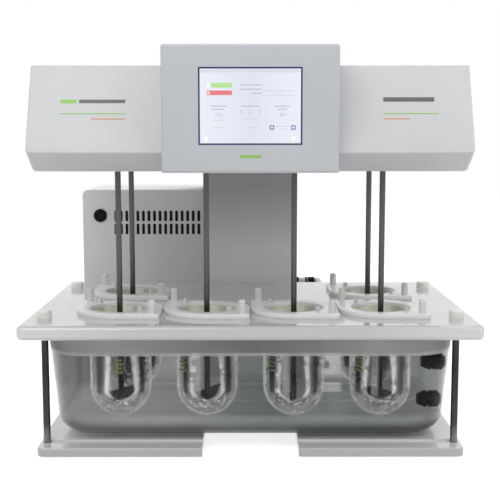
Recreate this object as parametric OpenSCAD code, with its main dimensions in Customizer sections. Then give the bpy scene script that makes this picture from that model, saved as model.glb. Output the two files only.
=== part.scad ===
// Automatic dissolution tester: six glass vessels in a heated water bath, stirred from a lifting head.
// Origin: on the bench, at the middle of the footprint. X to the right, Y to the back, Z up.

/* [Stations] */
// Distance between neighbouring vessels across the machine
station_pitch = 150; // [148:1:154]
// Distance between the front row and the back row
row_gap = 188; // [170:1:196]
// Distance from the front edge of the deck to the front row
row_inset = 136; // [132:1:146]

/* [Base] */
// Thickness of the rubber pads under the base
pad_t = 2; // [2:0.5:6]
// Depth of the machine, from the deck's front edge to the back of the base
machine_d = 760; // [750:1:800]
// Distance from the centre of a post to the side of the base plate
base_margin = 12; // [9:0.5:16]
// Thickness of the base plate
base_t = 15; // [13:0.5:20]
// Distance that the base plate stays behind the front edge of the deck
base_inset = 47; // [40:1:52]
// Width of the slot between the two front prongs of the base
slot_w = 161; // [120:1:180]
// Depth of the slot between the two front prongs
slot_d = 220; // [180:1:240]
// Thickness of the upper base sheet
sheet_t = 3; // [2:0.5:5]

/* [Deck] */
// Distance that the deck reaches past the centre of a post, to the side
deck_margin = 30.5; // [24:0.5:36]
// Depth of the deck
deck_d = 480; // [472:1:486]
// Thickness of the deck
deck_t = 24; // [20:1:28]
// Height of the deck's underside above the bench
deck_z = 208; // [202:1:218]
// Corner radius of the deck seen from above
deck_corner_r = 12; // [10:1:30]
// Radius of the deck's rounded edges
deck_edge_r = 8; // [5:0.5:9]

/* [Posts] */
// Diameter of the four posts
post_d = 12; // [10:0.5:14]
// Distance that the centre of a post stands inside the side of the bath's mouth
post_side_inset = 2.5; // [0:0.5:5]
// Distance from the front of the bath's mouth back to the centre of a front post
post_inset = 17; // [12:1:22]
// Diameter of the knobs on the posts
knob_d = 25; // [22:0.5:28]
// Height of the knobs
knob_h = 12.5; // [11:0.5:16]

/* [Bath] */
// Distance from an outer vessel to the side of the bath at its top
bath_side_gap = 69; // [64:1:72]
// Depth of the bath at its top
bath_d = 352; // [346:1:356]
// Wall of the bath
bath_wall = 3; // [2.5:0.5:4]
// Amount that each wall leans in from top to bottom
bath_draft = 17; // [12:1:20]
// Distance that the bath's middle stands behind the middle of the two rows
bath_shift = 11; // [8:1:16]
// Corner radius of the bath seen from above
bath_corner_r = 75; // [60:1:85]
// Radius between the walls and the floor of the bath
bath_foot_r = 28; // [20:1:32]
// Height of the moulded feet under the bath
bath_feet_h = 8; // [6:0.5:10]
// Diameter of the pipes between the bath and the circulator
pipe_d = 14; // [12:1:16]
// Diameter of the ribbed nuts in the bath
fitting_d = 29; // [26:0.5:32]
// Length of the ribbed nuts in the bath
fitting_l = 36; // [30:1:40]

/* [Vessels] */
// Outer diameter of a vessel
vessel_d = 106; // [102:0.5:107]
// Wall of a vessel
vessel_wall = 2; // [1.5:0.5:3]
// Height of a vessel without its rim
vessel_h = 182; // [176:1:184]
// Diameter of the vessel's rim flange
rim_d = 124; // [120:1:126]
// Thickness of the vessel's rim flange
rim_t = 4; // [3:0.5:5]
// Width of a ring plate across its flats
plate_w = 147; // [140:0.5:147.5]
// Thickness of a ring plate
plate_t = 8; // [7:0.5:12]
// Diameter of the hole in a ring plate
plate_hole_d = 102; // [98:1:104]
// Diameter of the pegs on the ring plates
peg_d = 12; // [8:0.5:14]
// Height of the pegs above the ring plates
peg_h = 23; // [16:1:26]

/* [Stirrers] */
// Diameter of a stirrer shaft
shaft_d = 10; // [9:0.5:11]
// Width of the blade along its upper edge
blade_w = 74.5; // [70:0.5:76]
// Radius of the blade's round ends about the shaft
blade_r = 41.5; // [39:0.5:43]
// Height of the blade
blade_h = 19; // [16:0.5:20]
// Thickness of the blade
blade_t = 4; // [3:0.5:5]
// Gap between the blade and the bottom of the vessel
blade_gap = 25; // [22:1:30]

/* [Head] */
// Height of the head's underside above the bench, fully lowered
head_z = 475; // [467:1:492]
// Width of the head across both wings
head_w = 714; // [700:1:724]
// Height of the wings
wing_h = 172; // [165:1:180]
// Height of the crease on the wings' front above the head's underside
crease_h = 31; // [26:1:36]
// Distance from the front row forward to the crease
crease_lead = 110; // [104:1:114]
// Amount that the sloped front leans back from crease to top
front_lean = 60; // [48:1:64]
// Amount that the lower chamfer runs back from the crease
chamfer_d = 46; // [38:1:48]
// Radius of the rounded lower corners at the ends of the wings
wing_corner_r = 8; // [6:1:14]
// Wall of the sheet housings
sheet_wall = 2.5; // [2:0.25:3]
// Thickness of the head's floor plate
floor_t = 8; // [6:0.5:10]
// Width of the central housing
spine_w = 278; // [270:1:286]
// Height of the central housing
spine_h = 199; // [194:1:206]
// Distance that the central housing stays behind the front edge of the deck
spine_inset = 3.5; // [2:0.5:8]
// Width of the screen
screen_w = 162; // [156:1:166]
// Height of the screen
screen_h = 120; // [114:1:124]
// Height of the screen's lower edge above the head's underside
screen_rise = 43.5; // [38:0.5:48]
// Width of the dark frame round the screen
bezel_w = 2.6; // [2:0.2:4]

/* [Drive] */
// Teeth of a spindle pulley
spindle_teeth = 28; // [24:1:30]
// Teeth of the motor pulley
motor_teeth = 18; // [16:1:22]
// Pitch of the belt teeth
tooth_pitch = 5; // [4.8:0.1:5.2]
// Width of the belt
belt_w = 10; // [8:1:12]
// Thickness of the belt
belt_t = 2; // [1.5:0.25:2.5]
// Distance that the motor stands behind the front row, where it presses the belt round its toothed wheel
motor_reach = 20; // [14:1:26]
// Diameter of the roller that presses on the belt at the back
roller_d = 30; // [26:1:32]
// Distance that the roller pushes the belt inwards
roller_push = 12; // [6:1:16]
// Diameter of a spindle
spindle_d = 20; // [18:0.5:22]

/* [Lift] */
// Width of the column
column_w = 188; // [180:1:196]
// Depth of the column
column_d = 120; // [112:1:128]
// Wall of the column
column_wall = 4; // [3:0.5:5]
// Gap between the deck and the column
column_gap = 16; // [10:1:20]
// Gap between the top of the column and the lowered head
column_top_gap = 5; // [3:0.5:8]
// Width of the mast
mast_w = 168; // [160:1:170]
// Depth of the mast
mast_d = 100; // [92:1:102]
// Wall of the mast
mast_wall = 5; // [4:0.5:6]
// Length of the mast below the head
mast_drop = 355; // [345:1:362]
// Diameter of the lead screw
screw_d = 20; // [16:1:24]

/* [Motors] */
// Width of the lift motor
lift_motor_w = 84; // [76:1:96]
// Depth of the lift motor
lift_motor_d = 72; // [64:1:80]
// Height of the lift motor
lift_motor_h = 76; // [68:1:78]
// Width of the stirrer motor
motor_box_w = 56; // [42:1:58]
// Diameter of the circulation pump
pump_d = 60; // [50:1:64]
// Length of the circulation pump
pump_l = 131; // [110:1:140]
// Diameter of the heater
heater_d = 76; // [60:1:80]
// Height of the heater
heater_h = 124; // [100:1:140]

/* [Circulator] */
// Width of the circulator
circ_w = 255; // [245:1:257]
// Depth of the circulator
circ_d = 223; // [215:1:224]
// Height of the circulator's top above the bench
circ_top_z = 420; // [405:1:432]
// Gap between the circulator and the column's foot
circ_side_gap = 1; // [1:0.5:4]
// Gap between the deck and the circulator
circ_gap = 51; // [46:1:54]
// Corner radius of the circulator's top
circ_corner_r = 12; // [8:1:16]
// Number of vent slots in a row
vent_count = 16; // [12:1:16]
// Distance between neighbouring vent slots
vent_pitch = 11.7; // [9:0.1:12]
// Width of a vent slot
vent_w = 6.2; // [4:0.2:7]
// Height of a vent slot
vent_h = 23; // [18:1:25]
// Diameter of the power rocker's bezel
rocker_bezel_d = 27.5; // [26:0.5:30]
// Angle that the rocker leans at rest
rocker_lean = 7; // [5:0.5:9]

/* [Clearances] */
// Running clearance on the radius of a turning shaft
run_gap = 0.05; // [0.03:0.01:0.08]
// Clearance round pieces that are slipped into place
slip_gap = 0.3; // [0.2:0.05:0.5]
// Clearance round a screw or spigot in its hole
hole_gap = 0.2; // [0.15:0.05:0.4]

/* [Hidden] */
$fn = 64;

bath_w = 3 * station_pitch + vessel_d + 2 * bath_side_gap;
post_span_x = bath_w - 2 * post_side_inset;
base_w = post_span_x + 2 * base_margin;
deck_w = post_span_x + 2 * deck_margin;

back_y = machine_d / 2;
deck_front_y = -back_y;
deck_back_y = deck_front_y + deck_d;
deck_mid_y = deck_front_y + deck_d / 2;
deck_top_z = deck_z + deck_t;
row_y = deck_front_y + row_inset;
// Stations: four in front, two behind the outer ones
stations = [
    for (i = [-1.5:1:1.5]) [i * station_pitch, row_y],
    for (s = [-1, 1]) [s * 1.5 * station_pitch, row_y + row_gap]
];
// Rest angle of each blade about its shaft
blade_angles = [51, 57, 80, -50, 20, -35];

bath_mid_y = row_y + row_gap / 2 + bath_shift;
base_front_y = deck_front_y + base_inset;
base_z = pad_t;
base_edge_r = 2.5;
base_corner_r = 12;
slot_corner_r = 10;
slot_mouth_r = 7;
sheet_z = base_z + base_t;
floor_z = sheet_z + sheet_t;
sheet_inset = 1.5;
pad_w = 34;
post_front_y = bath_mid_y - bath_d / 2 + post_inset;
post_back_y = bath_mid_y + bath_d / 2 - post_inset;
sheet_front_y = post_front_y + post_d / 3;
post_seat = 8;
spigot_d = post_d * 2 / 3;
spigot_h = 9;
knob_round = 3;
post_places = [for (sx = [-1, 1], y = [post_front_y, post_back_y]) [sx * post_span_x / 2, y]];

deck_hole_d = vessel_d + 6;
peg_offset_x = plate_w / 2 - 12.5;
peg_offset_y = plate_w / 2 - 10.5;
peg_shank_d = peg_d * 0.6;
peg_depth = 12;
peg_round = 4;
plate_corner_r = 8;
// The pegs stand in the two square corners of a plate: back left and front right
peg_places = [for (p = stations, s = [-1, 1]) [p[0] + s * peg_offset_x, p[1] - s * peg_offset_y]];
lug_w = 5;
lug_l = 6.5;
lug_h = 8;
lug_angle = 45;

bath_bottom_z = floor_z + bath_feet_h;
bath_h = deck_z - bath_bottom_z;
bath_rim_t = 4;
bath_rim_w = 5;
bath_foot_d = 40;
// Two fittings in the right wall of the bath
fitting_zs = [bath_bottom_z + 45, bath_bottom_z + 112];
fitting_y = row_y + 16;
fitting_stem_d = 20;
rib_h = 1.2;
rib_w = 2;
boss_l = 14;

column_front_y = deck_back_y + column_gap;
column_back_y = column_front_y + column_d;
column_mid_y = column_front_y + column_d / 2;
column_top_z = head_z - column_top_gap;
column_r = 6;
foot_t = 10;
foot_lip = 3;
foot_z = floor_z + foot_t;
collar_h = 25;
lift_motor_z = foot_z;
screw_seat = 14;
screw_z = lift_motor_z + lift_motor_h - screw_seat;
mast_z = head_z - mast_drop;
nut_h = 30;
screw_top_z = column_top_z - 10;

vessel_bottom_z = deck_top_z - vessel_h;
vessel_r = vessel_d / 2;
bowl_z = vessel_bottom_z + vessel_r;
plate_z = deck_top_z;
plate_top_z = plate_z + plate_t;

floor_top_z = head_z + floor_t;
wing_top_z = head_z + wing_h;
crease_y = row_y - crease_lead;
wing_back_y = row_y + row_gap + 64;
floor_front_y = crease_y + chamfer_d + sheet_wall + slip_gap + 2;
spine_front_y = deck_front_y + spine_inset;
spine_back_y = column_back_y + 20;
spine_top_z = head_z + spine_h;
spine_r = 5;
screen_z = head_z + screen_rise;
panel_t = 8;
panel_lap = 3;
// Side outline of a wing, from the lower front edge round to the lower back edge
wing_outline = [
    [crease_y + chamfer_d, head_z], [wing_back_y, head_z], [wing_back_y, wing_top_z],
    [crease_y + front_lean, wing_top_z], [crease_y, head_z + crease_h]
];

bearing_h = 32;
bearing_d = 44;
bearing_flange_d = 60;
bearing_flange_t = 6;
spindle_z = floor_top_z + 2;
pulley_z = floor_top_z + bearing_h + 9;
pulley_h = belt_w + 6;
flange_t = 2;
pulley_flange = 3;
tooth_h = 1.4;
spindle_top_z = pulley_z + pulley_h + 38;
clamp_d = 34;
clamp_h = 15;
paddle_top_z = spindle_top_z + 24;
belt_z = pulley_z + (pulley_h - belt_w) / 2;
belt_gap = 0.3;
motor_h = bearing_h + 3;
motor_shaft_d = 8;
motor_y = row_y + motor_reach;
roller_y = row_y + row_gap + pitch_r(spindle_teeth) + 2 * belt_gap + belt_t + roller_d / 2 - roller_push;
roller_pin_d = 10;
motor_seat = 26;

circ_right_x = -(column_w / 2 + foot_lip + circ_side_gap);
circ_left = circ_w - circ_right_x;
circ_front_y = deck_back_y + circ_gap;
circ_back_y = circ_front_y + circ_d;
panel_wall = 2.5;
cover_wall = 1.5;
pan_t = 4;
vent_row_gap = 27.6;
vent_right = 10.3;
vent_top_drop = 43.6;
rocker_x = -circ_left + 37;
rocker_z = circ_top_z - 54;
rocker_hole_d = rocker_bezel_d - 3.5;
rocker_proud = 3;
rocker_d = rocker_hole_d - 5;
rocker_t = 6;
rocker_pin_d = 2.4;
rocker_pin_l = rocker_d + 2.6;
inlet_w = 48;
inlet_h = 27;
inlet_z = floor_z + 60;
inlet_x = -circ_left + circ_w / 2;

// Each pipe runs from the bath's back wall past the column, then left. The upper one rises behind the deck
pipe_wall = 2;
pipe_start_zs = [bath_bottom_z + 45, bath_bottom_z + 102];
pipe_cross_y = deck_back_y + pipe_d;
pipe_turn_x = column_w / 2 + 59;
pipe_back_y = column_back_y + 40;
pipe_end_x = circ_right_x - 20;
pipe_end_zs = [pipe_start_zs[0], deck_z];
// Dark nuts on the upper pipe: distance from its turn, and length
pipe_nuts = [[8, 14], [24, 4], [43, 6]];

function pitch_r(teeth) = teeth * tooth_pitch / 360 * 180 / PI;

// Corner points of a convex outline moved inwards by a distance, the outline running anticlockwise
function unit(v) = v / norm(v);
function inward(a, b) = let (u = unit(b - a)) [-u[1], u[0]];
function cross2(a, b) = a[0] * b[1] - a[1] * b[0];
function moved_corner(p, q, r, d) = let (
    u = unit(q - p),
    v = unit(r - q),
    a = q + d * inward(p, q),
    b = q + d * inward(q, r),
    t = cross2(b - a, v) / cross2(u, v)
) a + t * u;
function inset(pts, d) = let (n = len(pts))
    [for (i = [0:n - 1]) moved_corner(pts[(i + n - 1) % n], pts[i], pts[(i + 1) % n], d)];

// Belt path: wheels inside the loop have a positive radius, the motor's wheel and the roller a negative one
belt_stops = [stations[0], stations[1], [0, motor_y], stations[2], stations[3], stations[5],
    [0, roller_y], stations[4]];
function belt_radii(extra) = let (
    s = pitch_r(spindle_teeth) + belt_gap + extra,
    m = -(pitch_r(motor_teeth) + belt_gap + belt_t - extra),
    r = -(roller_d / 2 + belt_gap + belt_t - extra)
) [s, s, m, s, s, s, r, s];
function run_angle(c, s, k) = let (
    n = len(c),
    j = (k + 1) % n,
    d = c[j] - c[k]
) atan2(d[1], d[0]) - asin((s[j] - s[k]) / norm(d));
function wrapped(a) = a - 360 * round(a / 360);
belt_steps = 9;
function belt_line(c, s) = let (n = len(c)) [
    for (k = [0:n - 1])
        let (
            from = run_angle(c, s, (k + n - 1) % n),
            turn = wrapped(run_angle(c, s, k) - from)
        )
        for (j = [0:belt_steps])
            let (a = from + turn * j / belt_steps) c[k] - s[k] * [-sin(a), cos(a)]
];

module rounded_rect(w, d, r) {
    square([w - 2 * r, d], center = true);
    square([w, d - 2 * r], center = true);
    for (sx = [-1, 1], sy = [-1, 1])
        translate([sx * (w / 2 - r), sy * (d / 2 - r)]) circle(r);
}

// Half of a slab's edge profile, from its axis out to the rounded edge
module edge_profile(r, t, e) {
    square([r - e, t]);
    translate([0, e]) square([r, t - 2 * e]);
    for (z = [e, t - e]) translate([r - e, z]) circle(e);
}

// Slab with rounded corners and rounded edges, standing on z = 0
module soft_slab(w, d, t, r, e) {
    rotate([90, 0, 0]) translate([0, 0, -(d / 2 - r)]) linear_extrude(d - 2 * r)
        translate([0, t / 2]) rounded_rect(w, t, e);
    rotate([90, 0, 90]) translate([0, 0, -(w / 2 - r)]) linear_extrude(w - 2 * r)
        translate([0, t / 2]) rounded_rect(d, t, e);
    for (sx = [-1, 1], sy = [-1, 1])
        translate([sx * (w / 2 - r), sy * (d / 2 - r), 0])
            rotate_extrude() intersection() {
                edge_profile(r, t, e);
                square([r, t]);
            }
}

// Box between two corners
module block(lo, hi) {
    translate(lo) cube(hi - lo);
}

module at_posts() {
    for (p = post_places) translate([p[0], p[1], 0]) children();
}

module base_slot(h) {
    depth = slot_d;
    translate([0, base_front_y + depth / 2, 0]) linear_extrude(h) {
        rounded_rect(slot_w, depth, slot_corner_r);
        translate([0, -depth / 4 - 5]) square([slot_w, depth / 2 + 10], center = true);
        for (s = [-1, 1]) difference() {
            translate([s * slot_w / 2, -depth / 2]) square(2 * slot_mouth_r, center = true);
            translate([s * (slot_w / 2 + slot_mouth_r), slot_mouth_r - depth / 2]) circle(slot_mouth_r);
        }
    }
}

module base_pads() {
    side = base_w / 2 - 40;
    color("#222222") for (sx = [-1, 1], y = [base_front_y + 45, (base_front_y + back_y) / 2, back_y - 45])
        translate([sx * side, y, 0]) cylinder(h = pad_t, r = pad_w / 2);
}

module base_plate() {
    depth = back_y - base_front_y;
    color("whitesmoke") difference() {
        translate([0, base_front_y + depth / 2, base_z])
            soft_slab(base_w, depth, base_t, base_corner_r, base_edge_r);
        translate([0, 0, base_z - 1]) base_slot(base_t + 2);
        at_posts() translate([0, 0, sheet_z - post_seat]) cylinder(h = post_seat + 1, r = post_d / 2 + hole_gap);
    }
}

module base_sheet() {
    depth = back_y - sheet_front_y - sheet_inset;
    color("whitesmoke") difference() {
        translate([0, sheet_front_y + depth / 2, sheet_z])
            linear_extrude(sheet_t) rounded_rect(base_w - 2 * sheet_inset, depth, base_corner_r - sheet_inset);
        translate([0, 0, sheet_z - 1]) base_slot(sheet_t + 2);
        at_posts() translate([0, 0, sheet_z - 1]) cylinder(h = sheet_t + 2, r = post_d / 2 + slip_gap);
    }
}

module posts() {
    color("silver") at_posts() {
        translate([0, 0, sheet_z - post_seat]) cylinder(h = deck_z - sheet_z + post_seat, r = post_d / 2);
        translate([0, 0, deck_z]) cylinder(h = deck_t + spigot_h, r = spigot_d / 2);
    }
}

module post_knobs() {
    color("ivory") at_posts() translate([0, 0, deck_top_z]) difference() {
        rotate_extrude() {
            square([knob_d / 2 - knob_round, knob_h]);
            square([knob_d / 2, knob_h - knob_round]);
            translate([knob_d / 2 - knob_round, knob_h - knob_round]) circle(knob_round);
        }
        translate([0, 0, -1]) cylinder(h = spigot_h + 1.5, r = spigot_d / 2 + run_gap);
    }
}

module deck() {
    color("white") difference() {
        translate([0, deck_mid_y, deck_z]) soft_slab(deck_w, deck_d, deck_t, deck_corner_r, deck_edge_r);
        for (p = stations) translate([p[0], p[1], deck_z - 1]) cylinder(h = deck_t + 2, r = deck_hole_d / 2);
        at_posts() translate([0, 0, deck_z - 1]) cylinder(h = deck_t + 2, r = spigot_d / 2 + hole_gap);
        for (p = peg_places)
            translate([p[0], p[1], deck_top_z - peg_depth]) cylinder(h = peg_depth + 1, r = peg_shank_d / 2 + hole_gap);
    }
}

// Solid tub shape: drafted walls and a round foot, as one convex skin through level slices
module tub(inset_by, low_z) {
    foot_r = bath_foot_r - inset_by;
    hull() {
        for (a = [0:18:90]) {
            z = low_z + foot_r * (1 - cos(a));
            lean = bath_draft * (deck_z - z) / bath_h;
            shrink = inset_by + lean + foot_r * (1 - sin(a));
            translate([0, bath_mid_y, z]) linear_extrude(0.01)
                rounded_rect(bath_w - 2 * shrink, bath_d - 2 * shrink, bath_corner_r - shrink * 0.6, $fn = 32);
        }
        translate([0, bath_mid_y, deck_z - 0.01]) linear_extrude(0.01)
            rounded_rect(bath_w - 2 * inset_by, bath_d - 2 * inset_by, bath_corner_r - inset_by, $fn = 32);
    }
}

module bath() {
    color("lightcyan", 0.4) difference() {
        union() {
            tub(0, bath_bottom_z);
            translate([0, bath_mid_y, deck_z - bath_rim_t]) linear_extrude(bath_rim_t)
                rounded_rect(bath_w + 2 * bath_rim_w, bath_d + 2 * bath_rim_w, bath_corner_r + bath_rim_w);
            for (sx = [-1, 1], sy = [-1, 1])
                translate([sx * bath_w * 0.33, bath_mid_y + sy * bath_d * 0.3, floor_z])
                    cylinder(h = bath_feet_h + 1, r = bath_foot_d / 2);
            at_pipe_seats() translate([0, 0, -boss_l]) cylinder(h = 2 * boss_l, r = pipe_d / 2 + 4);
        }
        tub(bath_wall, bath_bottom_z + bath_wall);
        translate([0, bath_mid_y, deck_z - 0.02]) linear_extrude(1)
            rounded_rect(bath_w - 2 * bath_wall, bath_d - 2 * bath_wall, bath_corner_r - bath_wall);
        for (z = fitting_zs)
            translate([bath_w / 2 - 40, fitting_y, z]) rotate([0, 90, 0])
                cylinder(h = 60, r = fitting_stem_d / 2 + hole_gap);
        at_pipe_seats() translate([0, 0, -boss_l]) cylinder(h = 3 * boss_l, r = pipe_d / 2 - pipe_wall);
        at_pipe_seats() cylinder(h = 2 * boss_l, r = pipe_d / 2 + hole_gap);
    }
}

// Outer faces of the bath's right wall and back wall at a height
function bath_lean(z) = bath_draft * (deck_z - z) / bath_h;
function bath_face_x(z) = bath_w / 2 - bath_lean(z);
function pipe_seat_y(z) = bath_mid_y + bath_d / 2 - bath_lean(z) + 1;

// Places where the pipes are seated in the bath's back wall, looking backwards along them
module at_pipe_seats() {
    for (z = pipe_start_zs) translate([pipe_turn_x, pipe_seat_y(z), z]) rotate([-90, 0, 0]) children();
}

// Ribbed nut with a domed end and a groove, its free end on z = 0
module ribbed_nut(l) {
    core_r = fitting_d / 2 - rib_h;
    cap_l = l * 0.45;
    groove_l = l * 0.1;
    rotate_extrude() {
        intersection() {
            translate([0, cap_l * 0.7]) circle(core_r);
            square([core_r, cap_l]);
        }
        translate([0, cap_l / 2]) square([core_r - 2, l - cap_l / 2]);
        translate([0, cap_l + groove_l]) square([core_r, l - cap_l - groove_l]);
    }
    for (a = [0:30:330]) rotate([0, 0, a]) translate([core_r - 1, -rib_w / 2, 0]) {
        translate([0, 0, cap_l * 0.7]) cube([rib_h + 1, rib_w, cap_l * 0.3]);
        translate([0, 0, cap_l + groove_l]) cube([rib_h + 1, rib_w, l - cap_l - groove_l]);
    }
}

// Two ribbed fittings whose stems end flush in the right wall, and the dark nuts on the upper pipe
module bath_fittings() {
    color("#202224") {
        for (z = fitting_zs) {
            face = bath_face_x(z);
            nut_x = face - bath_wall - bath_draft / bath_h * fitting_d / 2 - slip_gap - fitting_l;
            translate([nut_x, fitting_y, z]) rotate([0, 90, 0]) {
                ribbed_nut(fitting_l);
                cylinder(h = face - nut_x, r = fitting_stem_d / 2);
            }
        }
        for (n = pipe_nuts) translate([pipe_turn_x - n[0] - n[1], pipe_back_y, pipe_end_zs[1]]) rotate([0, 90, 0])
            difference() {
                cylinder(h = n[1], r = pipe_d / 2 + 1.5);
                translate([0, 0, -1]) cylinder(h = n[1] + 2, r = pipe_d / 2 + hole_gap);
            }
    }
}

// Route of a pipe from the bath to the circulator, by its corner points
function pipe_route(i, over) = [
    [pipe_turn_x, pipe_seat_y(pipe_start_zs[i]) + slip_gap - over, pipe_start_zs[i]],
    [pipe_turn_x, pipe_cross_y, pipe_start_zs[i]],
    [pipe_turn_x, pipe_cross_y, pipe_end_zs[i]],
    [pipe_turn_x, pipe_back_y, pipe_end_zs[i]],
    [pipe_end_x - over, pipe_back_y, pipe_end_zs[i]]
];

// Round bar through corner points that lie along the axes, with round elbows
module bar_through(pts, r) {
    for (i = [0:len(pts) - 2]) {
        d = pts[i + 1] - pts[i];
        turn = abs(d[0]) > 0 ? [0, sign(d[0]) * 90, 0] : abs(d[1]) > 0 ? [-sign(d[1]) * 90, 0, 0] : [0, 0, 0];
        if (norm(d) > 0) translate(pts[i]) rotate(turn) cylinder(h = norm(d), r = r);
    }
    for (i = [1:len(pts) - 2]) translate(pts[i]) sphere(r);
}

module water_pipes() {
    color("gainsboro") for (i = [0, 1]) difference() {
        bar_through(pipe_route(i, 0), pipe_d / 2);
        bar_through(pipe_route(i, 1), pipe_d / 2 - pipe_wall);
    }
}

module vessel(k) {
    p = stations[k];
    color("lightblue", 0.3) translate([p[0], p[1], 0]) difference() {
        union() {
            translate([0, 0, bowl_z]) sphere(vessel_r);
            translate([0, 0, bowl_z]) cylinder(h = deck_top_z + rim_t - bowl_z, r = vessel_r);
            translate([0, 0, deck_top_z]) cylinder(h = rim_t, r = rim_d / 2);
        }
        translate([0, 0, bowl_z]) sphere(vessel_r - vessel_wall);
        translate([0, 0, bowl_z]) cylinder(h = deck_top_z + rim_t - bowl_z + 1, r = vessel_r - vessel_wall);
    }
}

// Outline of a ring plate: two opposite corners fully round, the other two square
module leaf(w) {
    h = w / 2;
    circle(h);
    for (s = [-1, 1]) rotate([0, 0, s > 0 ? 0 : 180]) {
        translate([0, -h + plate_corner_r]) square([h, h - plate_corner_r]);
        translate([0, -h]) square([h - plate_corner_r, h]);
        translate([h - plate_corner_r, -h + plate_corner_r]) circle(plate_corner_r);
    }
}

module ring_plate(k) {
    p = stations[k];
    color("white") translate([p[0], p[1], plate_z]) difference() {
        linear_extrude(plate_t) leaf(plate_w);
        translate([0, 0, -1]) cylinder(h = plate_t + 2, r = plate_hole_d / 2);
        translate([0, 0, -1]) cylinder(h = rim_t + slip_gap + 1, r = rim_d / 2 + slip_gap);
        for (s = [-1, 1]) translate([s * peg_offset_x, -s * peg_offset_y, -1])
            cylinder(h = plate_t + 2, r = peg_shank_d / 2 + hole_gap);
    }
}

module ring_pegs() {
    color("snow") for (p = peg_places) translate([p[0], p[1], 0]) {
        translate([0, 0, deck_top_z - peg_depth + 1]) cylinder(h = plate_t + peg_depth - 1, r = peg_shank_d / 2);
        translate([0, 0, plate_top_z]) rotate_extrude() {
            square([peg_d / 2 - peg_round, peg_h]);
            square([peg_d / 2, peg_h - peg_round]);
            translate([peg_d / 2 - peg_round, peg_h - peg_round]) intersection() {
                circle(peg_round);
                translate([peg_round - peg_d / 2, -peg_round]) square([peg_d, 2 * peg_round]);
            }
        }
    }
}

module rim_lugs() {
    reach = plate_hole_d / 2 + 0.8;
    color("#e8ecec") for (p = stations, s = [0, 1])
        translate([p[0], p[1], plate_top_z]) rotate([0, 0, -lug_angle + 180 * s])
            translate([reach, -lug_w / 2, 0]) {
                cube([lug_l, lug_w, lug_h - lug_w / 2]);
                translate([0, lug_w / 2, lug_h - lug_w / 2]) rotate([0, 90, 0]) cylinder(h = lug_l, r = lug_w / 2);
            }
}

module column_foot() {
    color("silver") translate([0, column_mid_y, floor_z]) linear_extrude(foot_t)
        rounded_rect(column_w + 2 * foot_lip, column_d + 2 * foot_lip, 8);
}

module column_shell() {
    h = column_top_z - foot_z;
    color("gainsboro") translate([0, column_mid_y, foot_z]) difference() {
        linear_extrude(h) rounded_rect(column_w, column_d, column_r);
        translate([0, 0, -1]) linear_extrude(h - collar_h + 1)
            rounded_rect(column_w - 2 * column_wall, column_d - 2 * column_wall, column_r - column_wall / 2);
        translate([0, 0, h - collar_h - 1]) linear_extrude(collar_h + 2)
            rounded_rect(mast_w + 2 * slip_gap, mast_d + 2 * slip_gap, column_r + slip_gap);
    }
}

module lift_motor() {
    color("dimgray") translate([0, column_mid_y, lift_motor_z]) difference() {
        union() {
            linear_extrude(lift_motor_h - 12) rounded_rect(lift_motor_w, lift_motor_d, 6);
            cylinder(h = lift_motor_h, r = screw_d / 2 + 16);
        }
        translate([0, 0, lift_motor_h - screw_seat - slip_gap]) cylinder(h = screw_seat + 2, r = screw_d / 2 + run_gap);
    }
}

module lead_screw() {
    color("silver") translate([0, column_mid_y, screw_z]) {
        cylinder(h = screw_top_z - screw_z - 2, r = screw_d / 2);
        translate([0, 0, screw_top_z - screw_z - 2]) cylinder(h = 2, r1 = screw_d / 2, r2 = screw_d / 2 - 2);
    }
}

module mast() {
    color("lightgray") translate([0, column_mid_y, 0]) difference() {
        union() {
            translate([0, 0, mast_z]) linear_extrude(floor_top_z - mast_z) rounded_rect(mast_w, mast_d, column_r);
            translate([0, 0, floor_top_z]) linear_extrude(8) rounded_rect(mast_w + 30, mast_d + 26, 8);
        }
        translate([0, 0, mast_z - 1]) linear_extrude(mast_drop + floor_t + 10)
            rounded_rect(mast_w - 2 * mast_wall, mast_d - 2 * mast_wall, column_r - mast_wall / 2);
    }
}

module lift_nut() {
    color("goldenrod") translate([0, column_mid_y, mast_z]) difference() {
        union() {
            linear_extrude(8) rounded_rect(mast_w - 2 * mast_wall - 2 * slip_gap,
                mast_d - 2 * mast_wall - 2 * slip_gap, column_r - mast_wall / 2);
            cylinder(h = nut_h, r = screw_d / 2 + 12);
        }
        translate([0, 0, -1]) cylinder(h = nut_h + 2, r = screw_d / 2 + run_gap);
    }
}

// Front view outline of the circulator
module circ_outline(low, w, top, r) {
    mid = (circ_right_x - circ_left) / 2;
    translate([mid - w / 2, low]) square([w, top - low - r]);
    translate([mid - w / 2 + r, low]) square([w - 2 * r, top - low]);
    for (s = [-1, 1]) translate([mid + s * (w / 2 - r), top - r]) circle(r);
}

module circ_panel(y) {
    translate([0, y + panel_wall, 0]) rotate([90, 0, 0]) linear_extrude(panel_wall)
        circ_outline(floor_z, circ_w, circ_top_z, circ_corner_r);
}

module vent_slot() {
    square([vent_w, vent_h - vent_w], center = true);
    for (s = [-1, 1]) translate([0, s * (vent_h - vent_w) / 2]) circle(vent_w / 2, $fn = 24);
}

module circulator_front() {
    color("whitesmoke") difference() {
        circ_panel(circ_front_y);
        translate([0, circ_front_y + panel_wall + 1, 0]) rotate([90, 0, 0]) linear_extrude(panel_wall + 2) {
            for (i = [0:vent_count - 1], row = [0, 1])
                translate([circ_right_x - vent_right - i * vent_pitch,
                    circ_top_z - vent_top_drop - vent_h / 2 - row * vent_row_gap]) vent_slot();
            translate([rocker_x, rocker_z]) circle(rocker_hole_d / 2 + hole_gap);
        }
    }
}

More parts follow.
